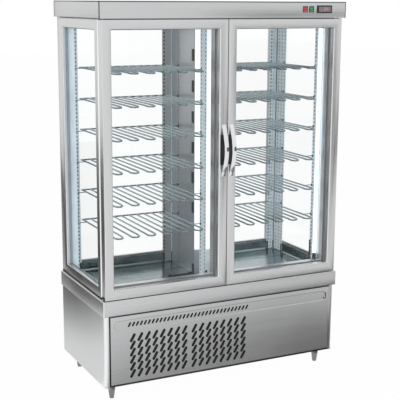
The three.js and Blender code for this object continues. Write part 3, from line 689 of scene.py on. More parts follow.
class Shading:
    """The node tree of one material, with a Principled shader."""

    def __init__(self, name: str) -> None:
        self.material = bpy.data.materials.new(name)
        self.material.use_nodes = True
        self.tree = self.material.node_tree
        self.surface = self.tree.nodes["Principled BSDF"]

    def node(self, kind: str, links: dict | None = None, **settings) -> bpy.types.Node:
        """Adds a node.

        Args:
            kind: Blender's type name.
            links: Values or sockets by input name or number.
            settings: Properties of the node.

        Returns:
            The node.
        """
        made = self.tree.nodes.new(kind)
        for key, value in settings.items():
            setattr(made, key, value)
        for key, value in (links or {}).items():
            if isinstance(value, bpy.types.NodeSocket):
                self.tree.links.new(value, made.inputs[key])
            else:
                made.inputs[key].default_value = value
        return made

    def constants(self, **values: float | tuple) -> None:
        """Sets the Principled shader's own sockets; an underscore stands for a blank."""
        for key, value in values.items():
            self.surface.inputs[key.replace("_", " ")].default_value = value

    def drive(self, socket: str, source: bpy.types.NodeSocket) -> None:
        """Links a source to one of the Principled shader's sockets."""
        self.tree.links.new(source, self.surface.inputs[socket])

    def noise(self, scale: tuple[float, float, float], detail: float = 4.0) -> bpy.types.NodeSocket:
        """Makes a noise on Object coordinates.

        Args:
            scale: How fast it changes along X, Y and Z.
            detail: How many finer layers it has.

        Returns:
            The noise value.
        """
        place = self.node("ShaderNodeTexCoord").outputs["Object"]
        mapped = self.node("ShaderNodeMapping", {"Vector": place, "Scale": scale})
        noise = self.node(
            "ShaderNodeTexNoise",
            {"Vector": mapped.outputs["Vector"], "Scale": 1.0, "Detail": detail, "Roughness": 0.62},
        )
        return noise.outputs["Fac"]

    def spread(
        self, value: bpy.types.NodeSocket, low: float, high: float, start: float = 0.3, end: float = 0.7,
    ) -> bpy.types.NodeSocket:
        """Stretches a value to another range.

        Args:
            value: The value, such as a noise.
            low: The result at start.
            high: The result at end.
            start: Where the value's own range starts.
            end: Where it ends.

        Returns:
            The stretched value, kept in the new range.
        """
        ranged = self.node(
            "ShaderNodeMapRange",
            {"Value": value, "From Min": start, "From Max": end, "To Min": low, "To Max": high},
        )
        return ranged.outputs["Result"]

    def blend(
        self, share: bpy.types.NodeSocket | float, first: Tone | bpy.types.NodeSocket,
        second: Tone | bpy.types.NodeSocket, kind: str = "MIX",
    ) -> bpy.types.NodeSocket:
        """Mixes two colours.

        Args:
            share: Share of the second.
            first: A tone or a socket.
            second: A tone or a socket.
            kind: Blender's name of the way they are mixed.

        Returns:
            The mixed colour.
        """
        pair = [(*colour, 1.0) if isinstance(colour, tuple) else colour for colour in (first, second)]
        links = {"Factor": share, 6: pair[0], 7: pair[1]}
        return self.node("ShaderNodeMix", links, data_type="RGBA", blend_type=kind).outputs[2]

    def compute(
        self, operation: str, *terms: bpy.types.NodeSocket | float, clamp: bool = False,
    ) -> bpy.types.NodeSocket:
        """Works out a value.

        Args:
            operation: Blender's name of the operation.
            terms: Values or sockets, in order.
            clamp: Whether the result is kept from 0 to 1.

        Returns:
            The result.
        """
        made = self.node("ShaderNodeMath", dict(enumerate(terms)), operation=operation, use_clamp=clamp)
        return made.outputs[0]

    def relief(self, height: bpy.types.NodeSocket, distance: float) -> None:
        """Drives the normal by a bump of the given depth in metres."""
        bump = self.node("ShaderNodeBump", {"Height": height, "Distance": distance, "Strength": 1.0})
        self.drive("Normal", bump.outputs["Normal"])

    def show(self, shader: bpy.types.NodeSocket) -> None:
        """Links a shader to the material's output."""
        self.tree.links.new(shader, self.tree.nodes["Material Output"].inputs["Surface"])


def scaled(tone: Tone, by: float) -> Tone:
    """Returns a tone made lighter or darker, up to white."""
    return tuple(min(1.0, c * by) for c in tone)


@dataclass(frozen=True)
class Metal:
    """Brushed or polished metal: fine lines, soft patches, bright worn edges."""

    name: str
    tone: Tone
    roughness: float
    grain: Grain = Grain.NONE
    contrast: float = 0.05
    patches: float = 0.04
    relief: float = 0.00004
    worn: float = 0.15
    metallic: float = 1.0

    def make(self) -> bpy.types.Material:
        """Builds the material."""
        work = Shading(self.name)
        lines = work.noise(self.grain.value, 6.0)
        clouds = work.noise((2.3, 2.3, 2.3), 3.0)
        shades = (scaled(self.tone, 1 - self.contrast), scaled(self.tone, 1 + self.contrast))
        sheet = work.blend(work.spread(lines, 0.0, 1.0), *shades)
        soft = work.blend(work.spread(clouds, 0.0, 1.0), scaled(WHITE, 1 - self.patches), WHITE)
        edge = work.node("ShaderNodeNewGeometry").outputs["Pointiness"]
        rubbed = work.spread(edge, 0.0, self.worn, 0.53, 0.62)
        plain = work.blend(1.0, sheet, soft, "MULTIPLY")
        work.drive("Base Color", work.blend(rubbed, plain, scaled(self.tone, 1.3)))
        work.constants(Metallic=self.metallic)
        brushed = work.spread(lines, self.roughness * 0.82, self.roughness * 1.18)
        work.drive("Roughness", work.compute("ADD", brushed, work.spread(clouds, -0.02, 0.03)))
        work.relief(lines, self.relief)
        return work.material


@dataclass(frozen=True)
class Moulded:
    """Plastic, rubber or enamel: a fine texture, uneven gloss and slight shade changes."""

    name: str
    tone: Tone
    roughness: float
    texture: float = 700.0
    relief: float = 0.00006
    glow: float = 0.0
    coat: float = 0.0

    def make(self) -> bpy.types.Material:
        """Builds the material."""
        work = Shading(self.name)
        pebbles = work.noise((self.texture,) * 3, 3.0)
        clouds = work.noise((9.0, 9.0, 9.0), 3.0)
        shades = (scaled(self.tone, 0.88), scaled(self.tone, 1.12))
        work.drive("Base Color", work.blend(work.spread(clouds, 0.0, 1.0), *shades))
        work.drive("Roughness", work.spread(clouds, self.roughness * 0.85, min(1.0, self.roughness * 1.15)))
        work.constants(Coat_Weight=self.coat, Coat_Roughness=0.08)
        # glow is emission in the finish's own tone: real light on the lamp tube, lit windows and digits,
        # painted light on the inner enamel, pale liner and white covers
        if self.glow > 0.0:
            work.constants(Emission_Color=(*self.tone, 1.0), Emission_Strength=self.glow)
        work.relief(pebbles, self.relief)
        return work.material


@dataclass(frozen=True)
class Glazing:
    """A clear pane: what is behind it shows, with a faint tint and a soft mirror image."""

    name: str
    tint: Tone
    shine: float
    edge_shine: float

    def make(self) -> bpy.types.Material:
        """Builds the material."""
        work = Shading(self.name)
        clear = work.node("ShaderNodeBsdfTransparent", {"Color": (*self.tint, 1.0)})
        turned = work.node("ShaderNodeLayerWeight", {"Blend": 0.5}).outputs["Facing"]
        steep = work.compute("POWER", turned, 5.0)
        smears = work.spread(work.noise((4.0, 4.0, 4.0), 4.0), 0.85, 1.15)
        mirror = work.compute("MULTIPLY_ADD", steep, self.edge_shine, self.shine)
        share = work.compute("MULTIPLY", mirror, smears, clamp=True)
        work.constants(Base_Color=(0.94, 1.0, 0.99, 1.0), Metallic=1.0, Roughness=0.02)
        mixed = work.node(
            "ShaderNodeMixShader", {0: share, 1: clear.outputs[0], 2: work.surface.outputs[0]},
        )
        work.show(mixed.outputs[0])
        return work.material


class Finishes:
    """Every finish of the cabinet, made once."""

    STEEL: Tone = (0.60, 0.605, 0.61)
    FRAME: Tone = (0.64, 0.645, 0.65)
    DUCT: Tone = (0.54, 0.57, 0.59)

    def __init__(self) -> None:
        self.steel_x = Metal("sheet_steel_brushed_across", self.STEEL, 0.34, Grain.ALONG_X).make()
        self.steel_z = Metal("sheet_steel_brushed_upright", self.STEEL, 0.34, Grain.ALONG_Z).make()
        self.rail_x = Metal("frame_rail_satin_across", self.FRAME, 0.30, Grain.ALONG_X, 0.04).make()
        self.rail_y = Metal("frame_rail_satin_deep", self.FRAME, 0.30, Grain.ALONG_Y, 0.04).make()
        self.rail_z = Metal("frame_stile_satin", self.FRAME, 0.30, Grain.ALONG_Z, 0.04).make()
        # inner_enamel_painted_lamplight glows: painted light that stands in for the lamps' light on the posts
        self.inner = Moulded("inner_enamel_painted_lamplight", (0.68, 0.76, 0.80), 0.42, 180.0, glow=0.19).make()
        self.duct = Metal("duct_steel", self.DUCT, 0.36, Grain.ALONG_Z, 0.06, 0.10, metallic=0.7).make()
        self.tub = Metal("tub_steel", (0.36, 0.44, 0.46), 0.13, Grain.ALONG_X, 0.12, 0.35, 0.0005).make()
        self.wire = Metal("shelf_wire", (0.24, 0.31, 0.33), 0.28, contrast=0.05, metallic=0.85).make()
        self.chrome = Metal("handle_chrome", (0.78, 0.79, 0.80), 0.10, contrast=0.02, worn=0.0).make()
        self.zinc = Metal("plated_steel", (0.50, 0.51, 0.52), 0.32, contrast=0.06).make()
        self.foot = Metal("foot_steel", (0.24, 0.24, 0.245), 0.36, contrast=0.08).make()
        self.fins = Metal("fin_stock", (0.05, 0.052, 0.054), 0.42, Grain.ALONG_Z, 0.15).make()
        self.aluminium = Metal("mill_aluminium", (0.58, 0.59, 0.60), 0.38, Grain.ALONG_X, 0.08).make()
        self.copper = Metal("copper_pipe", (0.60, 0.27, 0.15), 0.30, contrast=0.12).make()
        # this dark finish is painted shade on the casing foot strip and panel edge strips, painted dark
        # reflection on the cap edge bands, and the dark tone of the tub seam and shelf hook plates
        self.dark_steel_and_shade = Metal("dark_steel_and_painted_shade", (0.07, 0.07, 0.072), 0.40, contrast=0.15).make()
        self.rubber = Moulded("seal_rubber", (0.018, 0.018, 0.019), 0.72).make()
        self.grey_seal = Moulded("glass_seal_grey", (0.24, 0.25, 0.255), 0.60).make()
        self.gasket = Moulded("door_gasket_grey", (0.21, 0.215, 0.22), 0.66).make()
        # the near-black mat behind the panel's slots is painted shade
        self.mat = Moulded("painted_shade_mat", (0.010, 0.010, 0.011), 0.95, 420.0, 0.0006).make()
        # white_cover_painted_lamplight glows: painted light that makes the covers read lit
        self.cover = Moulded("white_cover_painted_lamplight", (0.93, 0.97, 1.0), 0.45, 260.0, glow=0.62).make()
        # pale_liner_painted_lamplight glows: painted light that stands in for the lamps' light on the liner
        self.liner = Moulded("pale_liner_painted_lamplight", (0.66, 0.78, 0.85), 0.45, 260.0, glow=0.16).make()
        # black plastic also makes the plate behind each handle, which is painted shadow
        self.plastic = Moulded("black_plastic", (0.022, 0.022, 0.024), 0.42).make()
        self.enamel = Moulded("black_enamel", (0.025, 0.025, 0.027), 0.30, 300.0, coat=0.3).make()
        self.red = Moulded("red_lens", (0.42, 0.012, 0.022), 0.22, coat=0.4, glow=0.08).make()
        self.red_lit = Moulded("red_lens_window", (0.85, 0.10, 0.12), 0.20, coat=0.4, glow=0.25).make()
        self.green = Moulded("green_lens", (0.004, 0.20, 0.05), 0.22, coat=0.4, glow=0.08).make()
        self.green_lit = Moulded("green_lens_window", (0.15, 0.85, 0.42), 0.20, coat=0.4, glow=0.35).make()
        self.window = Moulded("display_window", (0.20, 0.17, 0.18), 0.18, coat=0.6).make()
        self.digits = Moulded("display_digits", (0.72, 0.24, 0.32), 0.40, glow=0.35).make()
        self.tube = Moulded("lamp_tube", (0.86, 0.95, 1.0), 0.35, glow=1.6).make()
        self.glass = Glazing("clear_pane", (0.998, 1.0, 1.0), 0.012, 0.2).make()


@dataclass
class MachineBase:
    """Feet, casing, deck band and front panel."""

    finishes: Finishes
    sheet: float = 0.0015
    corner: float = 0.022
    base_shade_height: float = 0.0056
    deck_edge: float = 0.005
    deck_return: float = 0.044
    foot_tip: float = 0.011
    foot_collar: float = 0.018
    foot_collar_height: float = 0.012
    foot_stem: float = 0.006
    foot_rim: float = 0.0008
    thread_pitch: float = 0.0013
    joint: float = 0.0003
    lip: float = 0.012
    lip_gap: float = 0.0015
    swing: float = 0.0148
    pin_radius: float = 0.003
    # the dark strip along the casing's front foot is painted shade for the gap under the panel
    base_shade_front: float = 0.0005
    base_shade_back: float = 0.006
    base_shade_edge: float = 0.0008

    def build(self) -> None:
        """Builds the base from the floor up."""
        for end in ("front", "back"):
            for side in Side:
                self.foot(f"{end}_{side.word}_foot", f"{end}_{side.word}_leg")
        self.casing()
        self.deck_band()
        FrontPanel(self.finishes).build()

    def foot(self, node: str, body: str) -> None:
        """Turns one tapered foot with its collar and threaded stem.

        Args:
            node: The CAD node that it stands for.
            body: The body that it rides on.
        """
        box = Extent.of(node)
        rim = self.foot_rim
        collar = Extent.of("base_casing").low.z - self.joint
        taper = collar - self.foot_collar_height
        stem = [(self.foot_stem, collar)]
        height = collar
        while height + self.thread_pitch < box.high.z:
            groove = (self.foot_stem - rim / 2, height + self.thread_pitch / 2)
            stem += [(self.foot_stem, height), groove]
            height += self.thread_pitch
        profile = [
            (0.0, 0.0), (self.foot_tip - rim, 0.0), (self.foot_tip, rim),
            (self.foot_collar - rim, taper - rim), (self.foot_collar, taper),
            (self.foot_collar, collar - rim), (self.foot_collar - rim, collar),
            *stem, (self.foot_stem - rim, box.high.z), (0.0, box.high.z),
        ]
        work = Bench()
        work.lathe(profile, Vector((box.middle.x, box.middle.y, 0.0)), UP, 32)
        work.piece(f"{node}_turned", [self.finishes.foot], body, [node])

    def casing(self) -> None:
        """Folds the casing: open at the top and front, with large round front corners."""
        box = Extent.of("base_casing")
        work = Bench()
        verts = work.cube(box)
        faces = {f for v in verts for f in v.link_faces}
        open_faces = [f for f in faces if abs(f.normal.z) > 0.5]
        upright = [e for e in {e for v in verts for e in v.link_edges}
                   if abs(e.verts[0].co.z - e.verts[1].co.z) > self.corner
                   and (e.verts[0].co.y + e.verts[1].co.y) / 2 < box.middle.y]
        bmesh.ops.delete(work.bm, geom=open_faces, context="FACES_ONLY")
        work.round(upright, self.corner, 8)
        front = [f for f in work.bm.faces if f.normal.y < -FACING]
        bmesh.ops.delete(work.bm, geom=front, context="FACES")
        bmesh.ops.solidify(work.bm, geom=list(work.bm.faces), thickness=self.sheet)
        work.take()
        fold = self.sheet / 4
        floor = box.low.z + self.sheet
        near, far = box.low.y + self.sheet / 3, box.low.y + self.sheet * 1.3
        for side in Side:
            edge = side.value * (box.high.x - self.corner)
            work.block((edge, box.low.y, floor),
                       (edge - side.value * self.sheet, box.low.y + self.lip, box.high.z), fold)
        work.block((box.low.x + self.sheet, box.low.y + self.sheet, box.low.z),
                   (box.high.x - self.sheet, box.high.y - self.sheet, floor), fold)
        panel = Extent.of("front_panel")
        work.block((panel.high.x + self.lip_gap, near, floor),
                   (box.high.x - self.corner, far, box.high.z), fold)
        work.block((box.low.x + self.corner, near, floor),
                   (FrontPanel.PIN.x - self.swing, far, box.high.z), fold)
        behind = FrontPanel.PIN.y + self.swing
        work.block((box.low.x + self.corner, behind, floor),
                   (FrontPanel.PIN.x + self.swing, behind + self.sheet, box.high.z), fold)
        work.piece("casing_shell", [self.finishes.steel_z], "cabinet", ["base_casing"])
        # dark strip along the casing's front foot: painted shade for the gap under the panel
        inner = box.high.x - self.corner
        box_piece("casing_front_sill", (-inner, box.low.y + self.base_shade_front, box.low.z),
                  (inner, box.low.y + self.base_shade_back, box.low.z + self.base_shade_height), self.base_shade_edge, 2,
                  self.finishes.dark_steel_and_shade, "cabinet")

    def deck_band(self) -> None:
        """Folds the deck band with rounded edges and a return at its top, and hangs the panel's pin."""
        node = Extent.of("deck_band")
        low = Extent.of("base_casing").high.z + self.joint
        box = Extent(Vector((node.low.x, node.low.y, low)), node.high)
        work = Bench()
        verts = work.cube(box)
        edges = list({e for v in verts for e in v.link_edges})
        work.round(edges, self.deck_edge, 4)
        flat = [f for f in work.bm.faces if f.normal.z > FACING]
        bmesh.ops.inset_region(work.bm, faces=flat, thickness=self.deck_return - self.deck_edge)
        bmesh.ops.delete(work.bm, geom=flat, context="FACES")
        bmesh.ops.solidify(work.bm, geom=list(work.bm.faces), thickness=self.sheet)
        work.take()
        work.rod(Vector((FrontPanel.PIN.x, FrontPanel.PIN.y, node.low.z)),
                 Vector((FrontPanel.PIN.x, FrontPanel.PIN.y, low + self.sheet / 2)), self.pin_radius)
        deck = box.high.z
        ledge = Extent.of("floor_tub")
        opening = box.rect(Plane.PLAN).inset(self.deck_return)
        work.block((opening.u0, opening.v0, deck - self.sheet), (opening.u1, ledge.low.y, deck))
        work.block((opening.u0, ledge.high.y, deck - self.sheet), (opening.u1, opening.v1, deck))
        work.piece("deck_band_sheet", [self.finishes.steel_x], "cabinet", ["deck_band"])


@dataclass
class FrontPanel:
    """The hinged service panel: pressed channel, vent slots, two banks of louvre slots, pull."""

    finishes: Finishes
    sheet: float = 0.0015
    flange: float = 0.011
    channel_height: float = 0.052
    channel_drop: float = 0.025
    channel_depth: float = 0.0035
    channel_margin: float = 0.018
    channel_slope: float = 0.003
    vent_width: float = 0.0098
    vent_rise: float = 0.022
    vent_run: float = 0.013
    vent_pitch: float = 0.0208
    vent_count: int = 32
    vent_start: float = 0.0885
    louvre_width: float = 0.0150
    louvre_rise: float = 0.041
    louvre_run: float = 0.024
    louvre_pitch: float = 0.0397
    louvre_row_pitch: float = 0.0365
    louvre_columns: int = 8
    louvre_rows: int = 6
    louvre_start: float = 0.0955
    louvre_bottom: float = 0.0425
    bank_gap: float = 0.030
    knuckle: float = 0.0065
    knuckle_height: float = 0.028
    slot_sides: int = 8
    channel_sides: int = 32
    pull_width: float = 0.005
    pull_start: float = 0.0325
    pull_drop: float = 0.034
    pull_hook: float = 0.012
    pull_lap: float = 0.002
    pull_steps: int = 6
    # the dark strips on the panel's top and bottom edges are painted shade for the gaps above and below the
    # panel
    shade_strip_height: float = 0.0042
    shade_strip_proud: float = 0.001
    shade_strip_edge: float = 0.0003
    # the black mats behind the slots are painted shade for the dark inside of the casing
    mat_gap: float = 0.0003
    mat: float = 0.0018
    mat_margin: float = 0.008
    mat_edge: float = 0.0005

    PIN = Vector((-0.613, -0.283, 0.0))

    def build(self) -> None:
        """Builds the sheet, then what is fixed to it."""
        box = Extent.of("front_panel")
        face = box.low.y
        rect = box.rect(Plane.FRONT)
        top = rect.v1 - self.channel_drop
        middle = top - self.channel_height / 2
        length = rect.u1 - rect.u0 - 2 * self.channel_margin
        across = math.pi / 2
        rim = Slot(0.0, middle, self.channel_height, length, across, self.channel_sides)
        slope = 2 * self.channel_slope
        floor = Slot(0.0, middle, self.channel_height - slope, length - slope, across, self.channel_sides)
        louvres = self.louvres(rect)
        vents = self.vents(rect, middle)
        highest = max(slot.v + slot.length / 2 for column in louvres for slot in column)
        deep = face + self.channel_depth
        work = Bench()
        outline = work.loop(Plane.FRONT.point(u, v, face) for u, v in rect.corners())
        sheet = bmesh.ops.contextual_create(work.bm, geom=outline)["faces"]
        halves = work.divide(sheet, 2, [(highest + middle - self.channel_height / 2) / 2])
        lower, upper = sorted(halves, key=lambda f: f.calc_center_median().z)
        border = list(upper.edges)
        bmesh.ops.delete(work.bm, geom=[upper], context="FACES_ONLY")
        rim_edges = work.slot_loop(rim, Plane.FRONT, face)
        faces = work.fill(border + rim_edges, Plane.FRONT)
        faces += work.pierce_columns([lower], louvres, Plane.FRONT, face)
        floor_edges = work.slot_loop(floor, Plane.FRONT, deep)
        faces += bmesh.ops.bridge_loops(work.bm, edges=rim_edges + floor_edges)["faces"]
        bottom = bmesh.ops.contextual_create(work.bm, geom=floor_edges)["faces"]
        first, last = vents[0][0].u, vents[-1][0].u
        ends = [first - self.vent_pitch / 2, last + self.vent_pitch / 2]
        cells = work.divide(bottom, 0, ends)
        vented = next(f for f in cells if spans(f, 0, first))
        cells.remove(vented)
        faces += cells + work.pierce_columns([vented], vents, Plane.FRONT, deep)
        work.thicken([f for f in faces if f.is_valid], Vector((0.0, self.sheet, 0.0)))
        work.take()
        back = face + self.sheet
        work.band(rect, self.sheet, back, face + self.flange, Plane.FRONT)
        for low, high in self.ends(rect, self.knuckle_height):
            foot = Vector((self.PIN.x, self.PIN.y, low))
            work.rod(foot, Vector((self.PIN.x, self.PIN.y, high)), self.knuckle)
        work.piece("front_panel_sheet", [self.finishes.steel_x], "service_panel",
                   ["front_panel"])
        self.shade_strips(rect, face)
        self.mats("louvre_painted_shade_mat", louvres, back)
        self.mats("vent_painted_shade_mat", vents, deep + self.sheet)
        self.pull(rect, rect.v1 - self.pull_start, deep)

    def ends(self, rect: Rect, height: float) -> list[tuple[float, float]]:
        """Returns the heights of a strip along the bottom and of one along the top."""
        return [(rect.v0, rect.v0 + height), (rect.v1 - height, rect.v1)]

    def shade_strips(self, rect: Rect, face: float) -> None:
        """Fits dark strips along the panel's top and bottom, painted shade for the gaps above and below it.

        Args:
            rect: The panel's outline.
            face: Depth of its face.
        """
        near, far = face - self.shade_strip_proud, face - self.shade_strip_proud / 10
        work = Bench()
        for low, high in self.ends(rect, self.shade_strip_height):
            work.block((rect.u0, near, low), (rect.u1, far, high), self.shade_strip_edge, 1)
        work.piece("front_panel_edge_strips", [self.finishes.dark_steel_and_shade], "service_panel")

    def mats(self, name: str, columns: Sequence[Sequence[Slot]], back: float) -> None:
        """Lays a black mat behind columns of slots, painted shade for the dark inside seen through them.

        Args:
            name: The piece's name.
            columns: Slots by column.
            back: Depth of the sheet's back.
        """
        first = columns[0]
        reach = max(slot.width for slot in first) + self.mat_margin
        tall = first[0].length / 2 + self.mat_margin / 2
        near = back + self.mat_gap
        box_piece(name, (first[0].u - reach * 1.5, near, min(s.v for s in first) - tall),
                  (columns[-1][0].u + reach * 1.5, near + self.mat, max(s.v for s in first) + tall),
                  self.mat_edge, 1, self.finishes.mat, "service_panel")

    def vents(self, rect: Rect, middle: float) -> list[list[Slot]]:
        """Works out the small slots in the channel.

        Args:
            rect: The panel's outline.
            middle: Height of the channel's middle.

        Returns:
            The slots, each in a column of its own.
        """
        lean = math.atan2(self.vent_run, self.vent_rise)
        length = math.hypot(self.vent_run, self.vent_rise)
        start = rect.u0 + self.vent_start + (self.vent_run + self.vent_width * math.cos(lean)) / 2
        return [[Slot(start + i * self.vent_pitch, middle, self.vent_width, length, lean, self.slot_sides)]
                for i in range(self.vent_count)]

    def louvres(self, rect: Rect) -> list[list[Slot]]:
        """Works out the long slots of both banks.

        Args:
            rect: The panel's outline.

        Returns:
            The slots, by column.
        """
        lean = math.atan2(self.louvre_run, self.louvre_rise)
        length = math.hypot(self.louvre_run, self.louvre_rise)
        bank_width = (self.louvre_columns - 1) * self.louvre_pitch + self.louvre_run
        half_run = (self.louvre_run + self.louvre_width * math.cos(lean)) / 2
        half_rise = (self.louvre_rise + self.louvre_width * math.sin(lean)) / 2
        low = rect.v0 + self.louvre_bottom - self.louvre_row_pitch / 2 + half_rise
        columns = []
        for bank in range(2):
            left = rect.u0 + self.louvre_start + bank * (bank_width + self.bank_gap)
            for column in range(self.louvre_columns):
                u = left + column * self.louvre_pitch + half_run
                rows = [low + row * self.louvre_row_pitch for row in range(self.louvre_rows)]
                columns.append([Slot(u, v, self.louvre_width, length, lean, self.slot_sides) for v in rows])
        return columns

    def pull(self, rect: Rect, top: float, deep: float) -> None:
        """Bends the small dark pull at the channel's right end, shaped like a J.

        Args:
            rect: The panel's outline.
            top: Height of the pull's top.
            deep: Depth of the channel's floor.
        """
        x = rect.u1 - self.channel_margin
        proud = deep - self.pull_width / 2
        half = self.pull_hook / 2
        low = top - self.pull_drop
        points = [Vector((x, proud, top - self.pull_lap)), Vector((x, proud, low + half))]
        for step in range(1, self.pull_steps + 1):
            angle = step / self.pull_steps * math.pi
            along, down = 1 - math.cos(angle), 1 - math.sin(angle)
            points.append(Vector((x - half * along, proud, low + half * down)))
        work = Bench()
        work.wire(points, self.pull_width / 2)
        work.piece("front_panel_pull", [self.finishes.plastic], "service_panel")


@dataclass
class Machinery:
    """What shows behind the louvres and when the panel is open."""

    finishes: Finishes
    fin_pitch: float = 0.0065
    fin: float = 0.0012
    fin_inset: float = 0.002
    tank: float = 0.006
    pipe: float = 0.0042
    pipe_rows: int = 6
    shroud_edge: float = 0.0008
    hub: float = 0.030
    hub_bore: float = 0.0066
    hub_edge: float = 0.003
    blades: int = 5
    blade_reach: float = 0.016
    blade_root: float = 0.004
    blade_sheet: float = 0.002
    blade_pitch: float = math.radians(38)
    blade_twist: float = math.radians(-2.5)
    blade_steps: int = 6
    blade_growth: float = 0.05
    dome: float = 0.045
    dome_steps: int = 8
    bend_steps: int = 6
    bend_rise: float = 0.03
    pipe_rise: float = 0.05
    pipe_tail: float = 0.045

    def build(self) -> None:
        """Builds each machine."""
        self.condenser()
        self.shroud()
        self.fan()
        self.compressor()
        self.gland()

    def condenser(self) -> None:
        """Stacks the fins between end plates and threads the pipe through them."""
        box = Extent.of("condenser")
        work = Bench()
        count = int((box.size.x - 2 * self.tank) / self.fin_pitch)
        for index in range(count):
            x = box.low.x + self.tank + (index + 0.5) * self.fin_pitch
            work.block((x, box.low.y + self.fin_inset, box.low.z + self.fin_inset),
                       (x + self.fin, box.high.y - self.fin_inset, box.high.z - self.fin_inset))
        for x in (box.low.x, box.high.x - self.tank / 3):
            work.block((x, box.low.y, box.low.z), (x + self.tank / 3, box.high.y, box.high.z), 0.0005)
        pitch = box.size.z / self.pipe_rows
        points = []
        for row in range(self.pipe_rows):
            ends = (box.low.x + self.pipe * 1.2, box.high.x - self.pipe * 1.2)
            z = box.low.z + (row + 0.5) * pitch
            points += [Vector((x, box.middle.y, z)) for x in (ends if row % 2 == 0 else ends[::-1])]
        work.wire(points, self.pipe, 1, paint=1)
        work.piece("condenser_core", [self.finishes.fins, self.finishes.copper], "cabinet",
                   ["condenser"])

    def shroud(self) -> None:
        """Makes the shroud plate with its ring, the motor on its arms and the shaft."""
        rounded_node("fan_shroud", "fan_shroud_pressing", [self.finishes.enamel], "cabinet",
                     self.shroud_edge)

    def fan(self) -> None:
        """Turns the fan's hub and sets the blades round it."""
        box = Extent.of("condenser_fan")
        depth = box.size.y
        hub, bore, soft = self.hub, self.hub_bore, self.hub_edge
        work = Bench()
        work.lathe([(bore, 0), (hub - soft, 0), (hub, soft), (hub, depth), (bore, depth), (bore, 0)],
                   Vector((box.middle.x, box.low.y, box.middle.z)), BACKWARD, 32)
        for index in range(self.blades):
            self.blade(work, box.size.x / 2 - self.fin_inset)
            fresh = list({v for f in work.fresh() for v in f.verts})
            around = Matrix.Rotation(index / self.blades * 2 * math.pi, 3, "Y")
            bmesh.ops.rotate(work.bm, verts=fresh, matrix=around)
            bmesh.ops.translate(work.bm, vec=box.middle, verts=fresh)
            work.take()
        work.piece("condenser_fan_wheel", [self.finishes.plastic], "condenser_fan_rotor",
                   ["condenser_fan"])

    def blade(self, work: Bench, tip: float) -> None:
        """Sweeps one twisted blade upright from the hub.

        Args:
            work: The mesh that it is added to.
            tip: Radius of the blade's tip.
        """
        places = [share * self.blade_reach for share in (-1, -0.35, 0.35, 1)]
        chord = [work.bm.verts.new((x, 0.0, self.hub - self.blade_root)) for x in places]
        edges = [work.bm.edges.new(pair) for pair in zip(chord, chord[1:])]
        bmesh.ops.rotate(work.bm, verts=chord, matrix=Matrix.Rotation(self.blade_pitch, 3, "Z"))
        verts = list(chord)
        for step in range(self.blade_steps):
            grown = bmesh.ops.extrude_edge_only(work.bm, edges=edges)["geom"]
            edges = [g for g in grown if isinstance(g, BMEdge) and all(v in grown for v in g.verts)]
            edges = [e for e in edges if len(e.link_faces) == 1 and not any(v in verts for v in e.verts)]
            row = [g for g in grown if isinstance(g, BMVert)]
            bmesh.ops.translate(work.bm, vec=(0, 0, (tip - self.hub) / self.blade_steps), verts=row)
            bmesh.ops.rotate(work.bm, verts=row, matrix=Matrix.Rotation(self.blade_twist, 3, "Z"))
            spread = 1.0 + self.blade_growth * (self.blade_steps - step) / self.blade_steps
            bmesh.ops.scale(work.bm, vec=(spread, spread, 1.0), verts=row)
            verts += row
        bmesh.ops.solidify(work.bm, geom=work.fresh(), thickness=self.blade_sheet)

    def compressor(self) -> None:
        """Makes the welded can on its base with a terminal box and copper pipes."""
        box = Extent.of("compressor")
        radius = box.size.x / 2 - 0.002
        height = box.size.z
        foot = Vector((box.middle.x, box.middle.y, box.low.z))
        weld = height * 0.55
        wall, seam = radius * 0.97, radius + 0.002
        profile = [(0, 0), (radius * 0.92, 0), (wall, 0.012), (wall, weld - 0.006), (seam, weld - 0.004),
                   (seam, weld + 0.004), (wall, weld + 0.006), (wall, height - self.dome)]
        for step in range(1, self.dome_steps + 1):
            angle = step / self.dome_steps * math.pi / 2
            profile.append((wall * math.cos(angle), height - self.dome * (1 - math.sin(angle))))
        work = Bench()
        work.lathe(profile, foot, UP, 48)
        edge = foot.y - radius
        work.block((foot.x - 0.028, edge - 0.0001, foot.z + 0.060),
                   (foot.x + 0.028, edge + 0.030, foot.z + 0.110), 0.004, 3, 1)
        top = foot.z + height * 0.8
        for lean, reach in ((0.045, 0.040), (-0.050, 0.070)):
            start = Vector((foot.x + lean, foot.y, top))
            points = [start]
            for step in range(self.bend_steps + 1):
                angle = step / self.bend_steps * math.pi / 2
                across = math.copysign(reach * (1 - math.cos(angle)), lean)
                rise = self.pipe_rise + self.bend_rise * math.sin(angle)
                points.append(start + Vector((across, 0.0, rise)))
            points.append(points[-1] + Vector((math.copysign(self.pipe_tail, lean), 0.0, -0.01)))
            work.wire(points, 0.004, 2, 2)
        work.piece("compressor_can", [self.finishes.enamel, self.finishes.plastic, self.finishes.copper],
                   "cabinet", ["compressor"])

    def gland(self) -> None:
        """Turns the cable gland in the back wall, with a nut."""
        box = Extent.of("cable_gland")
        foot = Vector((box.middle.x, box.low.y, box.middle.z))
        wide = box.size.x / 2
        deep = box.size.y
        profile = [(0, 0), (wide - 0.001, 0), (wide, 0.001), (wide, 0.011), (wide - 0.001, 0.012),
                   (0.009, 0.012), (0.009, deep - 0.0083), (wide, deep - 0.0083), (wide, deep - 0.004),
                   (wide * 0.75, deep), (0.006, deep), (0.0055, deep - 0.003), (0, deep - 0.003)]
        work = Bench()
        work.lathe(profile, foot, BACKWARD, 32)
        work.piece("cable_gland_nut", [self.finishes.plastic], "cabinet", ["cable_gland"])


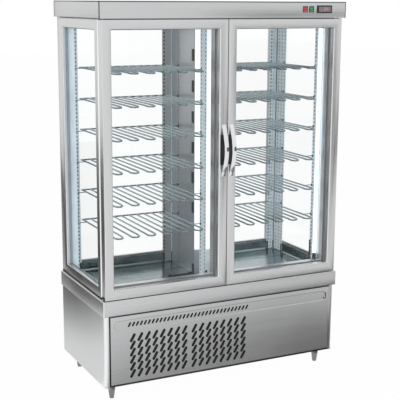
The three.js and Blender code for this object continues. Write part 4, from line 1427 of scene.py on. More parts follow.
@dataclass
class GlazedBody:
    """Side, back and front frames, their panes and seals, and the tub."""

    finishes: Finishes
    edge: float = 0.0015
    bead: float = 0.012
    bead_drop: float = 0.009
    sight_chamfer: float = 0.002
    front_chamfer: float = 0.007
    sight_seal: float = 0.003
    rebate: float = 0.0117
    side_window: Rect = Rect(-0.202, 0.254, 0.548, 1.7647)
    back_window: Rect = Rect(-0.5747, 0.5747, 0.548, 1.7647)
    deck_seal: float = 0.006
    tub_radius: float = 0.014
    tub_sheet: float = 0.0015
    tub_wall: float = 0.0027
    tub_floor: float = 0.490
    seam_place: float = 0.12
    bar_near: float = 0.062
    bar_far: float = 0.180
    bar_front: float = -0.022
    bar_depth: float = 0.018
    bar_height: float = 0.013
    bar_block: float = 0.009
    bar_inset: float = 0.003

    def build(self) -> None:
        """Builds the frames, then what they hold."""
        for side in Side:
            self.side_frame(side)
        self.back_frame()
        self.front_frame()
        self.deck_seals()
        self.tub()

    def side_frame(self, side: Side) -> None:
        """Mitres a side frame: a flat face up to the glass and a wide chamfer on its front edge.

        Args:
            side: The side that it stands on.
        """
        node = f"{side.word}_side_frame"
        glass_node = f"{side.word}_side_glass"
        box = Extent.of(node)
        outer = box.rect(Plane.SIDE)
        face, inner = box.wall(side), box.wall(side.other)
        near_glass = Extent.of(glass_node).wall(side)
        soft = side.value * self.sight_chamfer
        profile = [
            (0, 0, inner), (0, 0, face), (1, -self.sight_chamfer, face), (1, 0, face - soft),
            (1, 0, near_glass), (1, -self.rebate, near_glass), (1, -self.rebate, inner),
        ]
        work = Bench()
        work.ring(outer, self.side_window, profile, Plane.SIDE, 0.0, 3, longest_upright)
        near = MERGE * 10
        front = [e for e in work.bm.edges
                 if all(abs(v.co.x - face) < near and abs(v.co.y - outer.u0) < near for v in e.verts)]
        work.round(front, self.front_chamfer, 1)
        sharp = [e for e in work.bm.edges if e.calc_face_angle(0.0) > SHARP_ANGLE]
        work.round(sharp, self.edge / 2, 2)
        work.piece(f"{node}_rails", [self.finishes.rail_y, self.finishes.rail_z], "cabinet",
                   [node])
        work = Bench()
        proud = near_glass + side.value * self.sight_seal
        work.seal(self.side_window, self.sight_seal, near_glass, proud, Plane.SIDE)
        work.piece(f"{node}_glass_seal", [self.finishes.grey_seal], "cabinet")
        pane(glass_node, self.finishes.glass, "cabinet")

    def back_frame(self) -> None:
        """Mitres the back frame with its bead and seal."""
        box = Extent.of("back_frame")
        sight = Extent.of("back_glass").high.y
        face = box.high.y
        profile = [
            (0, 0, box.low.y), (0, 0, face), (1, -self.bead, face), (1, -0.002, face - self.bead_drop),
            (1, 0, face - self.bead_drop * 1.3), (1, 0, sight), (1, -self.rebate, sight),
            (1, -self.rebate, box.low.y),
        ]
        work = Bench()
        outer = box.rect(Plane.FRONT)
        work.ring(outer, self.back_window, profile, Plane.FRONT, self.edge, 3, longest_upright)
        work.piece("back_frame_rails", [self.finishes.rail_x, self.finishes.rail_z], "cabinet",
                   ["back_frame"])
        work = Bench()
        work.seal(self.back_window, self.sight_seal, sight, sight + self.sight_seal, Plane.FRONT)
        work.piece("back_glass_seal", [self.finishes.grey_seal], "cabinet")
        pane("back_glass", self.finishes.glass, "cabinet")

    def front_frame(self) -> None:
        """Makes the fixed frame that the doors close on, with its middle post."""
        rounded_node("front_frame", "front_frame_rails", [self.finishes.rail_x, self.finishes.rail_z],
                     "cabinet", self.edge, 2, longest_upright)

    def deck_seals(self) -> None:
        """Lays the black seal between the deck and the side frames."""
        for side in Side:
            box = Extent.of(f"{side.word}_side_frame")
            face = box.wall(side)
            box_piece(f"{side.word}_deck_seal", (face + side.value * 0.0025, box.low.y, box.low.z - 0.0002),
                      (face - side.value * 0.004, box.high.y - 0.002, box.low.z + self.deck_seal), 0.0015, 2,
                      self.finishes.rubber, "cabinet")

    def tub(self) -> None:
        """Presses the shining tub: round inner corners, a rolled rim and a skirt."""
        box = Extent.of("floor_tub")
        wall, floor = self.tub_wall, self.tub_floor
        inside = Extent(Vector((box.low.x + wall, box.low.y + wall, floor)),
                        Vector((box.high.x - wall, box.high.y - wall, box.high.z - wall)))
        work = Bench()
        verts = work.cube(inside)
        lid = [f for f in {f for v in verts for f in v.link_faces} if f.normal.z > 0.9]
        edges = {e for v in verts for e in v.link_edges}
        work.round([e for e in edges if not any(f in lid for f in e.link_faces)], self.tub_radius, 5)
        bmesh.ops.delete(work.bm, geom=[f for f in work.bm.faces if f.normal.z > 0.9], context="FACES")
        bmesh.ops.reverse_faces(work.bm, faces=list(work.bm.faces))
        bmesh.ops.solidify(work.bm, geom=list(work.bm.faces), thickness=self.tub_sheet)
        work.take()
        outer = box.rect(Plane.PLAN)
        low = box.high.z - wall * 1.6
        work.band(outer, wall * 1.5, low, box.high.z, Plane.PLAN, wall / 3, 3)
        work.band(outer, self.tub_sheet, box.low.z, floor + 0.02, Plane.PLAN)
        work.block((inside.low.x, self.seam_place, floor - self.tub_sheet / 2),
                   (inside.high.x, self.seam_place + 0.003, floor + 0.0006), 0.0002, 1, 1)
        work.piece("floor_tub_pressing", [self.finishes.tub, self.finishes.dark_steel_and_shade], "cabinet",
                   ["floor_tub"])
        for side in Side:
            self.bar(side, floor)

    def bar(self, side: Side, floor: float) -> None:
        """Lays the black bar with end blocks beside the foot of the duct.

        Args:
            side: The bay that it lies in.
            floor: Height of the tub's floor.
        """
        ends = [side.value * reach for reach in (self.bar_near, self.bar_far)]
        low, high = self.bar_front, self.bar_front + self.bar_depth
        foot = floor + 0.0002
        work = Bench()
        work.block((ends[0], low + self.bar_inset, foot),
                   (ends[1], high - self.bar_inset, floor + self.bar_height * 0.6), 0.002, 2)
        for end in ends:
            work.block((end - self.bar_block, low, foot),
                       (end + self.bar_block, high, floor + self.bar_height), 0.002, 2)
        work.piece(f"{side.word}_floor_bar", [self.finishes.plastic], "cabinet")


@dataclass
class Standards:
    """Perforated posts and the centre duct, with what is on and in them."""

    finishes: Finishes
    sheet: float = 0.0015
    pitch: float = 0.020
    hole_width: float = 0.0068
    wide_hole: float = 0.0095
    hole_height: float = 0.010
    hole_margin: float = 0.011
    column_pitch: float = 0.030
    back_column: float = 0.086
    backing: float = 0.001
    fold_line: float = 0.003
    shoe_height: float = 0.051
    high_shoe: float = 0.139
    shoe: float = 0.0045
    shoe_edge: float = 0.001
    fold_edge: float = 0.0008
    duct_half: float = 0.038
    outlet_width: float = 0.032
    outlet_height: float = 0.060
    outlet_rise: float = 0.030
    outlet_margin: float = 0.003
    cover: float = 0.0012
    cover_edge: float = 0.0004
    post_cover_foot: float = 0.651
    duct_cover_foot: float = 0.617
    clip: float = 0.0024
    clip_rise: float = -0.012
    clip_reach: float = 0.030
    clip_height: float = 0.020

    def build(self) -> None:
        """Builds posts, duct and the shoes at their feet."""
        for side in Side:
            self.back_post(side)
            self.front_post(side)
        self.centre_post()
        self.duct()
        dress("evaporator", self.finishes.aluminium)
        dress("blower_wheel", self.finishes.aluminium)

    def column(self, u: float, low: float, high: float, wide: float | None = None) -> list[Slot]:
        """Works out one column of slots.

        Args:
            u: Place of the column.
            low: Foot of the sheet.
            high: Top of the sheet.
            wide: Width of its slots, where it isn't hole_width.

        Returns:
            The slots.
        """
        count = int((high - low - self.pitch) / self.pitch)
        size = wide or self.hole_width
        return [Slot(u, low + (i + 1) * self.pitch, size, self.hole_height) for i in range(count)]

    def strip(self, work: Bench, plane: Plane, u: float, near: float, far: float, heights: Rect) -> None:
        """Lays a black strip behind a column of slots.

        Args:
            work: The mesh that it is added to.
            plane: The plane of the sheet.
            u: Place of the column.
            near: Depth of the strip's face.
            far: Depth of its back.
            heights: The sheet, which gives the strip's height.
        """
        wide = self.wide_hole * 0.65
        work.block(plane.point(u - wide, heights.v0 + self.pitch / 2, near),
                   plane.point(u + wide, heights.v1 - self.pitch / 2, far), 0.0, 1, 1)

    def backs(self, work: Bench, places: Sequence[float], wall: float, sign: int, flank: Rect) -> None:
        """Lays black strips behind a side leg's slots and closes them with a pale plate.

        Args:
            work: The mesh that they are added to.
            places: Places of the columns.
            wall: Depth of the leg's face.
            sign: The side's sign.
            flank: The leg's outline.
        """
        near, far = wall + sign * self.backing / 5, wall + sign * self.backing
        for u in places:
            self.strip(work, Plane.SIDE, u, near, far, flank)
        plate = flank.inset(self.sheet)
        work.block(Plane.SIDE.point(plate.u0, plate.v0, far + sign * self.backing / 5),
                   Plane.SIDE.point(plate.u1, plate.v1, far + sign * self.backing), 0.0, 1, 2)

    def back_post(self, side: Side) -> None:
        """Folds an angle post: a leg on the back and a leg on the side, with shoes at its foot.

        Args:
            side: The side that it stands on.
        """
        node = f"back_{side.word}_post"
        box = Extent.of(node)
        sign = side.value
        work = Bench()
        back = box.rect(Plane.FRONT)
        free = back.u0 if side is Side.RIGHT else back.u1
        place = free + sign * self.hole_margin
        pair = sorted((place, place + sign * self.column_pitch / 2))
        columns = [self.column(u, back.v0, back.v1) for u in pair]
        rear = box.high.y
        work.plate(back, columns, Plane.FRONT, rear, rear - self.sheet)
        self.strip(work, Plane.FRONT, place, rear + self.backing / 5, rear + self.backing, back)
        flank = box.rect(Plane.SIDE)
        wall = box.wall(side)
        inner = wall - sign * self.sheet
        places = [flank.u0 + self.hole_margin + step * self.column_pitch for step in range(3)]
        work.plate(flank, [self.column(u, flank.v0, flank.v1) for u in places], Plane.SIDE, wall, inner)
        self.backs(work, places, wall, sign, flank)
        fold = rear - self.sheet
        high = box.low.z + self.shoe_height
        for low, far in (
            ((inner, fold, box.low.z), (inner - sign * self.fold_line, fold - self.fold_line, box.high.z)),
            ((inner, box.low.y, box.low.z), (inner - sign * self.shoe, box.low.y + 2 * self.shoe, high)),
            ((free, fold, box.low.z), (free + sign * 2 * self.shoe, fold - self.shoe, high)),
        ):
            work.block(low, far, self.fold_edge, 1, 1)
        work.piece(f"{node}_sheet", [self.finishes.inner, self.finishes.plastic, self.finishes.liner],
                   "cabinet", [node])

    def front_post(self, side: Side) -> None:
        """Folds a front post: a wide leg on the side, a narrow front return and a shoe on its back edge.

        Args:
            side: The side that it stands on.
        """
        node = f"front_{side.word}_post"
        box = Extent.of(node)
        sign = side.value
        flank = box.rect(Plane.SIDE)
        wall = box.wall(side)
        inner = wall - sign * self.sheet
        work = Bench()
        places = sorted(flank.u1 - self.hole_margin - step * self.column_pitch for step in range(2))
        columns = [self.column(u, flank.v0, flank.v1, self.wide_hole) for u in places]
        work.plate(flank, columns, Plane.SIDE, wall, inner)
        self.backs(work, places, wall, sign, flank)
        work.block((wall, box.low.y, box.low.z),
                   (box.wall(side.other), box.low.y + self.sheet, box.high.z), self.cover_edge, 1)
        work.block((inner, box.high.y, box.low.z),
                   (inner - sign * self.shoe, box.high.y - 2 * self.shoe, box.low.z + self.high_shoe),
                   self.fold_edge, 1, 1)
        plate = self.finishes.cover if side is Side.LEFT else self.finishes.liner
        work.piece(f"{node}_sheet", [self.finishes.inner, self.finishes.plastic, plate], "cabinet",
                   [node])

    def centre_post(self) -> None:
        """Makes the square post behind the middle of the front frame, with its white front cover."""
        node = "centre_post"
        box = Extent.of(node)
        work = Bench()
        front = box.rect(Plane.FRONT)
        flank = box.rect(Plane.SIDE)
        for near, far in ((box.low.y, box.low.y + self.sheet), (box.high.y, box.high.y - self.sheet)):
            work.plate(front, [], Plane.FRONT, near, far)
        places = (flank.u0 + self.hole_margin, flank.u1 - self.wide_hole)
        for side in Side:
            wall, sign = box.wall(side), side.value
            columns = [self.column(u, flank.v0, flank.v1, self.wide_hole) for u in places]
            work.plate(flank, columns, Plane.SIDE, wall, wall - sign * self.sheet)
            for u in places:
                inside = wall - sign * (self.sheet + self.backing / 5)
                self.strip(work, Plane.SIDE, u, inside, inside - sign * self.backing, flank)
            work.block((wall, box.low.y - self.shoe, box.low.z),
                       (wall - sign * 2 * self.shoe, box.low.y + self.shoe, box.low.z + self.shoe_height),
                       self.shoe_edge, 1, 1)
        work.piece(f"{node}_sheet", [self.finishes.inner, self.finishes.plastic], "cabinet",
                   [node])
        self.front_cover(node, front.u0, front.u1, box, self.post_cover_foot)

    def front_cover(self, node: str, left: float, right: float, box: Extent, foot: float) -> None:
        """Clips a white cover on the front of a post or duct.

        Args:
            node: The post or duct.
            left: Its left edge.
            right: Its right edge.
            box: Its box.
            foot: Height of the cover's foot.
        """
        box_piece(f"{node}_cover", (left + self.sheet, box.low.y - self.cover, foot),
                  (right - self.sheet, box.low.y - self.cover / 10, box.high.z - 0.004), self.cover_edge, 1,
                  self.finishes.cover, "cabinet")

    def duct(self) -> None:
        """Folds the air duct: two cheeks with outlets, a plain front, flanges on the back and black shoes."""
        box = Extent.of("air_duct")
        half = self.duct_half
        front, rear = box.low.y, box.high.y
        foot, top = box.low.z, box.high.z
        inside_rear = rear - self.sheet
        setback = self.outlet_margin + self.outlet_width / 2
        work = Bench()
        tops = [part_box(f"left_shelf_{level + 1}")[1].z for level in range(6)]
        flank = box.rect(Plane.SIDE)
        outlets = [Slot(flank.u0 + setback, shelf + self.outlet_rise + self.outlet_height / 2,
                        self.outlet_width, self.outlet_height) for shelf in tops]
        back_column = self.column(flank.u1 - self.back_column, foot, top)
        shoe = foot + self.shoe_height + 0.005
        for side in Side:
            sign = side.value
            wall = sign * half
            work.plate(flank, [outlets, back_column], Plane.SIDE, wall, wall - sign * self.sheet)
            inside = wall - sign * (self.sheet + self.backing)
            self.strip(work, Plane.SIDE, back_column[0].u, inside, inside - sign * self.backing, flank)
            flange = Rect(*sorted((wall, sign * box.high.x)), foot, top)
            edge = sign * (box.high.x - self.hole_margin)
            work.plate(flange, [self.column(edge, foot, top)], Plane.FRONT, rear, inside_rear)
            self.strip(work, Plane.FRONT, edge, rear + self.backing / 5, rear + self.backing, flange)
            for low, high, paint in ((foot, shoe, 1), (shoe, top, 2)):
                work.block((wall, inside_rear, low),
                           (wall + sign * self.fold_line, inside_rear - self.fold_line, high),
                           self.fold_edge, 1, paint)
            for slot in outlets:
                self.outlet_back(work, slot, wall - sign * 0.006, sign)
            work.block((wall, front - self.shoe, foot),
                       (wall + sign * self.shoe, front + 4 * self.shoe, foot + self.shoe_height),
                       self.shoe_edge, 1, 1)
            work.block((sign * box.high.x, inside_rear, foot),
                       (sign * (box.high.x - 2 * self.shoe), inside_rear - self.shoe, shoe),
                       self.shoe_edge, 1, 1)
        work.plate(Rect(-half, half, foot, top), [], Plane.FRONT, front, front + self.sheet)
        work.piece("air_duct_sheet", [self.finishes.duct, self.finishes.plastic, self.finishes.liner],
                   "cabinet", ["air_duct"])
        self.front_cover("air_duct", -half, half, box, self.duct_cover_foot)
        self.clips(tops, front - self.cover - self.clip)

    def outlet_back(self, work: Bench, slot: Slot, behind: float, sign: int) -> None:
        """Closes the view into an outlet with a black plate that is a little larger.

        Args:
            work: The mesh that it is added to.
            slot: The outlet.
            behind: Depth of the plate's face.
            sign: The side's sign.
        """
        wide, tall = self.outlet_width / 2, self.outlet_height / 2
        lap = 0.004
        work.block((behind, slot.u - wide - lap, slot.v - tall - lap),
                   (behind - sign * 0.002, slot.u + wide + lap, slot.v + tall + lap), 0.0, 1, 1)

    def clips(self, tops: Sequence[float], face: float) -> None:
        """Bends the black spring clips on the duct's front, one for each pair of shelves.

        Args:
            tops: Heights of the shelves.
            face: Depth of the clips.
        """
        work = Bench()
        for top in tops:
            low = top + self.clip_rise
            work.wire([Vector((self.clip_reach, face, low)), Vector((-self.clip_reach / 4, face, low)),
                       Vector((self.clip_reach, face, low + self.clip_height))], self.clip, 1)
        work.piece("air_duct_clips", [self.finishes.plastic], "cabinet")


@dataclass
class WireShelf:
    """One shelf: hairpin wires whose front bends dip, on a back rod, with four hooks."""

    finishes: Finishes
    side: Side
    level: int
    radius: float = 0.0043
    wires: int = 12
    inner_hook: float = 0.047
    outer_hook: float = 0.0517
    dip_length: float = 0.016
    dip: float = 0.003
    hook_radius: float = 0.0022
    cross_front: float = -0.087
    cross_outer: float = -0.122
    cross_back: float = 0.1877
    bend_steps: int = 6
    plate_gap: float = 0.006
    plate: float = 0.003
    plate_half: float = 0.004
    plate_drop: float = 0.008
    plate_rise: float = 0.005

    def build(self) -> None:
        """Bends, welds and hangs the shelf."""
        node = f"{self.side.word}_shelf_{self.level}"
        box = Extent.of(node)
        sign = self.side.value
        inner_tip, outer_tip = sorted((box.low.x, box.high.x), key=abs)
        inner = inner_tip + sign * self.inner_hook
        outer = outer_tip - sign * self.outer_hook
        axis = box.high.z - self.radius
        front = box.low.y + self.radius
        back = box.high.y - self.radius
        pitch = (outer - inner - sign * 2 * self.radius) / (self.wires - 1)
        work = Bench()
        for pair in range(0, self.wires, 2):
            first = inner + sign * self.radius + pair * pitch
            work.wire(self.hairpin(first, first + pitch, front, back, axis), self.radius, 1)
        work.wire([Vector((inner, back, axis)), Vector((outer, back, axis))], self.radius, 1)
        for tip, end, places in (
            (inner_tip, inner + sign * self.radius, (self.cross_front, self.cross_back)),
            (outer_tip, outer - sign * self.radius, (self.cross_outer, self.cross_back)),
        ):
            for y in places:
                work.wire([Vector((tip, y, axis)), Vector((end, y, axis))], self.hook_radius, 1)
                out = math.copysign(1.0, tip - end)
                wall = tip - out * self.plate_gap
                work.block((wall, y - self.plate_half, axis - self.plate_drop),
                           (wall - out * self.plate, y + self.plate_half, axis + self.plate_rise),
                           0.0008, 1, 1)
        work.piece(f"{node}_wires", [self.finishes.wire, self.finishes.dark_steel_and_shade], "cabinet",
                   [node])

    def hairpin(self, first: float, second: float, front: float, back: float, axis: float) -> list[Vector]:
        """Works out the path of two wires joined by a round bend that dips at the front.

        Args:
            first: X of the first wire.
            second: X of the second wire.
            front: Y of the bend's front.
            back: Y of the wires' back ends.
            axis: Height of the wires.

        Returns:
            The corners of the path.
        """
        radius = abs(second - first) / 2
        middle = (first + second) / 2
        half = (first - second) / 2
        start = front + radius + self.dip_length
        reach = start - front

        def dipped(x: float, y: float) -> Vector:
            """Returns a point lowered by how far it is past the start of the dip."""
            return Vector((x, y, axis - self.dip * max(0.0, (start - y) / reach)))

        path = [dipped(first, back), dipped(first, start), dipped(first, front + radius)]
        for step in range(1, self.bend_steps):
            angle = step / self.bend_steps * math.pi
            path.append(dipped(middle + half * math.cos(angle), front + radius * (1 - math.sin(angle))))
        return path + [dipped(second, front + radius), dipped(second, start), dipped(second, back)]


@dataclass
class Lamp:
    """An upright light tube with a black holder at each end."""

    finishes: Finishes
    side: Side
    holder: float = 0.026
    tube: float = 0.008
    rim: float = 0.001
    cap: float = 0.008
    cap_proud: float = 0.0004
    steps: int = 24
    sleeve: float = 0.0088
    sleeve_top: float = 0.575

    def build(self) -> None:
        """Builds the tube, its metal ends and the holders."""
        node = f"{self.side.word}_lamp"
        box = Extent.of(node)
        foot = Vector((box.middle.x, box.middle.y, 0.0))
        low = box.low.z + self.holder
        high = box.high.z - self.holder
        wide = box.size.x / 2
        work = Bench()
        work.lathe(drum(self.tube, low, high), foot, UP, self.steps)
        for start, end in ((low, low + self.cap), (high - self.cap, high)):
            work.lathe(drum(self.tube + self.cap_proud, start, end), foot, UP, self.steps, 1)
        work.lathe(drum(self.sleeve, low + self.cap, self.sleeve_top), foot, UP, self.steps, 2)
        for start, end in ((box.low.z, low), (high, box.high.z)):
            profile = [(0, start), (wide - self.rim, start), (wide, start + self.rim), (wide, end - self.rim),
                       (wide - self.rim, end), (0, end)]
            work.lathe(profile, foot, UP, self.steps, 2)
        work.piece(f"{node}_tube", [self.finishes.tube, self.finishes.aluminium, self.finishes.plastic],
                   "cabinet", [node])


@dataclass
class Door:
    """A hinged door: mitred frame, pane, glass seals, gasket, handle and hinge pins."""

    finishes: Finishes
    side: Side
    stile: float = 0.045
    top_rail: float = 0.046
    bottom_rail: float = 0.050
    edge: float = 0.0022
    chamfer: float = 0.004
    seal: float = 0.003
    rebate: float = 0.0117
    gasket_width: float = 0.014
    gasket_edge: float = 0.0008
    gasket_groove: float = 0.45
    pin_flange: float = 0.009
    pin: float = 0.005
    strap_edge: float = 0.0013
    # a black plate behind each handle is painted shadow of the strap on the door
    handle_shadow_low: float = 1.113
    handle_shadow_high: float = 1.260
    grip_sheet: float = 0.0012
    grip: dict[Side, tuple[float, float]] = field(
        default_factory=lambda: {Side.LEFT: (-0.040, -0.014), Side.RIGHT: (0.003, 0.028)},
    )

    def build(self) -> None:
        """Builds the door on its own body."""
        hand = self.side.word
        body = f"{hand}_door"
        box = Extent.of(f"{hand}_door_frame")
        glass = Extent.of(f"{hand}_door_glass")
        outer = box.rect(Plane.FRONT)
        window = Rect(outer.u0 + self.stile, outer.u1 - self.stile,
                      outer.v0 + self.bottom_rail, outer.v1 - self.top_rail)
        front, back, sight = box.low.y, box.high.y, glass.low.y
        profile = [
            (0, 0, back), (0, 0, front), (1, -self.chamfer, front), (1, 0, front + self.chamfer),
            (1, 0, sight), (1, -self.rebate, sight), (1, -self.rebate, back),
        ]
        work = Bench()
        work.ring(outer, window, profile, Plane.FRONT, self.edge, 3, longest_upright)
        work.piece(f"{hand}_door_rails", [self.finishes.rail_x, self.finishes.rail_z], body,
                   [f"{hand}_door_frame"])
        work = Bench()
        for depth, sign in ((sight, -1), (glass.high.y, 1)):
            work.seal(window, self.seal, depth, depth + sign * self.seal, Plane.FRONT)
        work.piece(f"{hand}_door_glass_seal", [self.finishes.grey_seal], body)
        pane(f"{hand}_door_glass", self.finishes.glass, body)
        self.gasket(body)
        self.handle(body)
        self.pins(body)

    def gasket(self, body: str) -> None:
        """Moulds the door gasket with two ribs.

        Args:
            body: The door's body.
        """
        node = f"{self.side.word}_gasket"
        box = Extent.of(node)
        outer = box.rect(Plane.FRONT)
        low, high = box.low.y, box.high.y
        groove = (high - low) * self.gasket_groove
        profile = [(0, 0, low), (0, 0, high), (0.4, 0, high), (0.5, 0, high - groove), (0.6, 0, high),
                   (1, 0, high), (1, 0, low)]
        work = Bench()
        work.ring(outer, outer.inset(self.gasket_width), profile, Plane.FRONT, self.gasket_edge, 2)
        work.piece(f"{node}_moulding", [self.finishes.gasket], body, [node])

    def handle(self, body: str) -> None:
        """Rounds the bowed strap handle and lays a black plate behind it, painted shadow of the strap on the
        door.

        Args:
            body: The door's body.
        """
        node = f"{self.side.word}_handle"
        rounded_node(node, f"{node}_strap", [self.finishes.chrome], body, self.strap_edge, 3)
        face = Extent.of(f"{self.side.word}_door_frame").low.y
        left, right = self.grip[self.side]
        box_piece(f"{node}_grip_plate", (left, face - self.grip_sheet, self.handle_shadow_low),
                  (right, face - self.grip_sheet / 10, self.handle_shadow_high), 0.0004, 1,
                  self.finishes.plastic, body)

    def pins(self, body: str) -> None:
        """Turns the hinge pins, and the shoe on the door's lower hinge corner.

        Args:
            body: The door's body.
        """
        hand = self.side.word
        wide, slim = self.pin_flange, self.pin
        for level, sign in (("lower", 1), ("upper", -1)):
            node = f"{hand}_{level}_hinge_pin"
            box = Extent.of(node)
            start = box.low.z if level == "lower" else box.high.z
            length = box.size.z
            profile = [(0, 0), (0.0082, 0), (wide, 0.0008), (wide, 0.003), (slim, 0.003),
                       (slim, length - 0.001), (0.004, length), (0, length)]
            work = Bench()
            work.lathe(profile, Vector((box.middle.x, box.middle.y, start)), UP * sign, 24)
            work.piece(f"{node}_turned", [self.finishes.zinc], "cabinet", [node])
        box = Extent.of(f"{hand}_door_frame")
        sign = self.side.value
        face = sign * max(abs(box.low.x), abs(box.high.x))
        box_piece(f"{hand}_door_hinge_shoe", (face - sign * 0.002, box.low.y + 0.012, box.low.z + 0.0005),
                  (face + sign * 0.0015, box.high.y - 0.004, box.low.z + 0.014), 0.0008, 2,
                  self.finishes.plastic, body)


@dataclass
class Cap:
    """The cap with painted dark reflection in bands along its top edge and down its corners, with switches
    and temperature controller.
    """

    finishes: Finishes
    edge: float = 0.003
    sheet: float = 0.0015
    lip: float = 0.018
    # seam and lid size the dark bands at the corners and top edge, which are painted dark reflection
    seam: float = 0.0045
    lid: float = 0.0045
    shy: float = 0.0004
    dark_reflection_reach: float = 0.006
    moulding_edge: float = 0.0006
    rocker_place: tuple[float, float, float] = (0.0, -0.3025, 1.858)
    rocker_tilt: float = math.radians(-16)
    window_low: tuple[float, float, float] = (-0.0045, -0.0055, 0.0012)
    window_high: tuple[float, float, float] = (0.0045, -0.0042, 0.0100)

    def build(self) -> None:
        """Builds the cap and its controls."""
        self.shell()
        dress("cap_floor", self.finishes.steel_x)
        self.switches()
        Controller(self.finishes).build()

    def shell(self) -> None:
        """Folds the cap sheet, and lays dark bands down its corners and along its top edge, painted dark
        reflection of the rounded edges.
        """
        box = Extent.of("top_cap")
        inset = Vector((self.shy, self.shy, 0.0))
        sheet = Extent(box.low + inset, box.high - inset - Vector((0.0, 0.0, self.shy)))
        work = Bench()
        verts = work.cube(sheet)
        work.round(list({e for v in verts for e in v.link_edges}), self.edge, 3)
        bottom = [f for f in work.bm.faces if f.normal.z < -FACING]
        bmesh.ops.inset_region(work.bm, faces=bottom, thickness=self.lip)
        bmesh.ops.delete(work.bm, geom=bottom, context="FACES")
        bmesh.ops.solidify(work.bm, geom=list(work.bm.faces), thickness=self.sheet)
        work.take()
        work.piece("top_cap_sheet", [self.finishes.steel_x], "cabinet", ["top_cap"])
        # dark bands at the corners and along the top edge: painted dark reflection of the rounded edges
        outer = box.rect(Plane.PLAN)
        work = Bench()
        high = box.high.z
        work.band(outer, self.dark_reflection_reach, high - self.lid, high, Plane.PLAN, 0.0008, 2)
        for u, v in outer.corners():
            inside = (u - math.copysign(self.seam, u), v - math.copysign(self.seam, v), high - self.lid / 2)
            work.block((u, v, box.low.z), inside, 0.001, 2)
        work.piece("top_cap_edge_seals", [self.finishes.dark_steel_and_shade], "cabinet")

    def switches(self) -> None:
        """Moulds the switch body, the two rockers and their lit windows."""
        rounded_node("switch_body", "switch_body_moulding", [self.finishes.plastic], "cabinet",
                     self.moulding_edge)
        for colour, body_tone, lit in (("red", self.finishes.red, self.finishes.red_lit),
                                       ("green", self.finishes.green, self.finishes.green_lit)):
            node = f"{colour}_rocker"
            rounded_node(node, f"{node}_cap", [body_tone], f"{colour}_switch",
                         self.moulding_edge)
            centre = Extent.of(node).middle.x
            low, high = Vector(self.window_low), Vector(self.window_high)
            low.x, high.x = centre + self.window_low[0], centre + self.window_high[0]
            work = Bench()
            verts = work.cube(Extent(low, high))
            bmesh.ops.rotate(work.bm, verts=verts, matrix=Matrix.Rotation(self.rocker_tilt, 3, "X"))
            bmesh.ops.translate(work.bm, vec=self.rocker_place, verts=verts)
            work.take(0.0005, 2)
            work.piece(f"{node}_window", [lit], f"{colour}_switch")


@dataclass
class Controller:
    """The temperature controller: rounded bezel, window and digits."""

    finishes: Finishes
    border: float = 0.0065
    recess: float = 0.0015
    digit: float = 0.0150
    stroke: float = 0.0018
    bezel: float = 0.0047
    can_inset: float = 0.0045
    start: float = 0.50
    advance: float = 0.85
    text: str = "24"

    SEGMENTS = {"2": "abged", "4": "fgbc"}

    def build(self) -> None:
        """Builds the bezel with its window, and the digits in it."""
        node = "temperature_controller"
        box = Extent.of(node)
        face = box.low.y
        rect = box.rect(Plane.FRONT)
        back = face + self.bezel
        opening = rect.inset(self.border)
        window = opening.inset(-0.001)
        work = Bench()
        work.ring(rect, opening, [(0, 0, back), (0, 0, face), (1, 0, face), (1, 0, back)],
                  Plane.FRONT, 0.0014, 3)
        work.block((window.u0, face + self.recess, window.v0), (window.u1, back, window.v1), 0.0003, 1, 1)
        work.block((rect.u0 + self.border, back, rect.v0 + self.can_inset),
                   (rect.u1 - self.border, box.high.y, rect.v1 - self.can_inset), 0.001, 2)
        work.piece("controller_housing", [self.finishes.plastic, self.finishes.window], "cabinet",
                   [node])
        work = Bench()
        x = opening.u0 + (opening.u1 - opening.u0) * self.start
        for symbol in self.text:
            self.symbol(work, symbol, x, (opening.v0 + opening.v1) / 2, face + self.recess)
            x += self.digit * self.advance
        work.piece("controller_digits", [self.finishes.digits], "cabinet")

    def symbol(self, work: Bench, symbol: str, x: float, z: float, face: float) -> None:
        """Adds one seven-segment digit.

        Args:
            work: The mesh that it is added to.
            symbol: The digit.
            x: Its middle.
            z: Its middle height.
            face: Depth of the window's face.
        """
        half = self.digit / 2
        wide = self.digit * 0.28
        places = {
            "a": (0.0, half, True), "g": (0.0, 0.0, True), "d": (0.0, -half, True),
            "f": (-wide, half / 2, False), "b": (wide, half / 2, False),
            "e": (-wide, -half / 2, False), "c": (wide, -half / 2, False),
        }
        for key in self.SEGMENTS[symbol]:
            dx, dz, flat = places[key]
            reach = (wide, self.stroke / 2) if flat else (self.stroke / 2, half / 2)
            low = (x + dx - reach[0], face - 0.0004, z + dz - reach[1])
            work.block(low, (x + dx + reach[0], face, z + dz + reach[1]), 0.0002, 1)


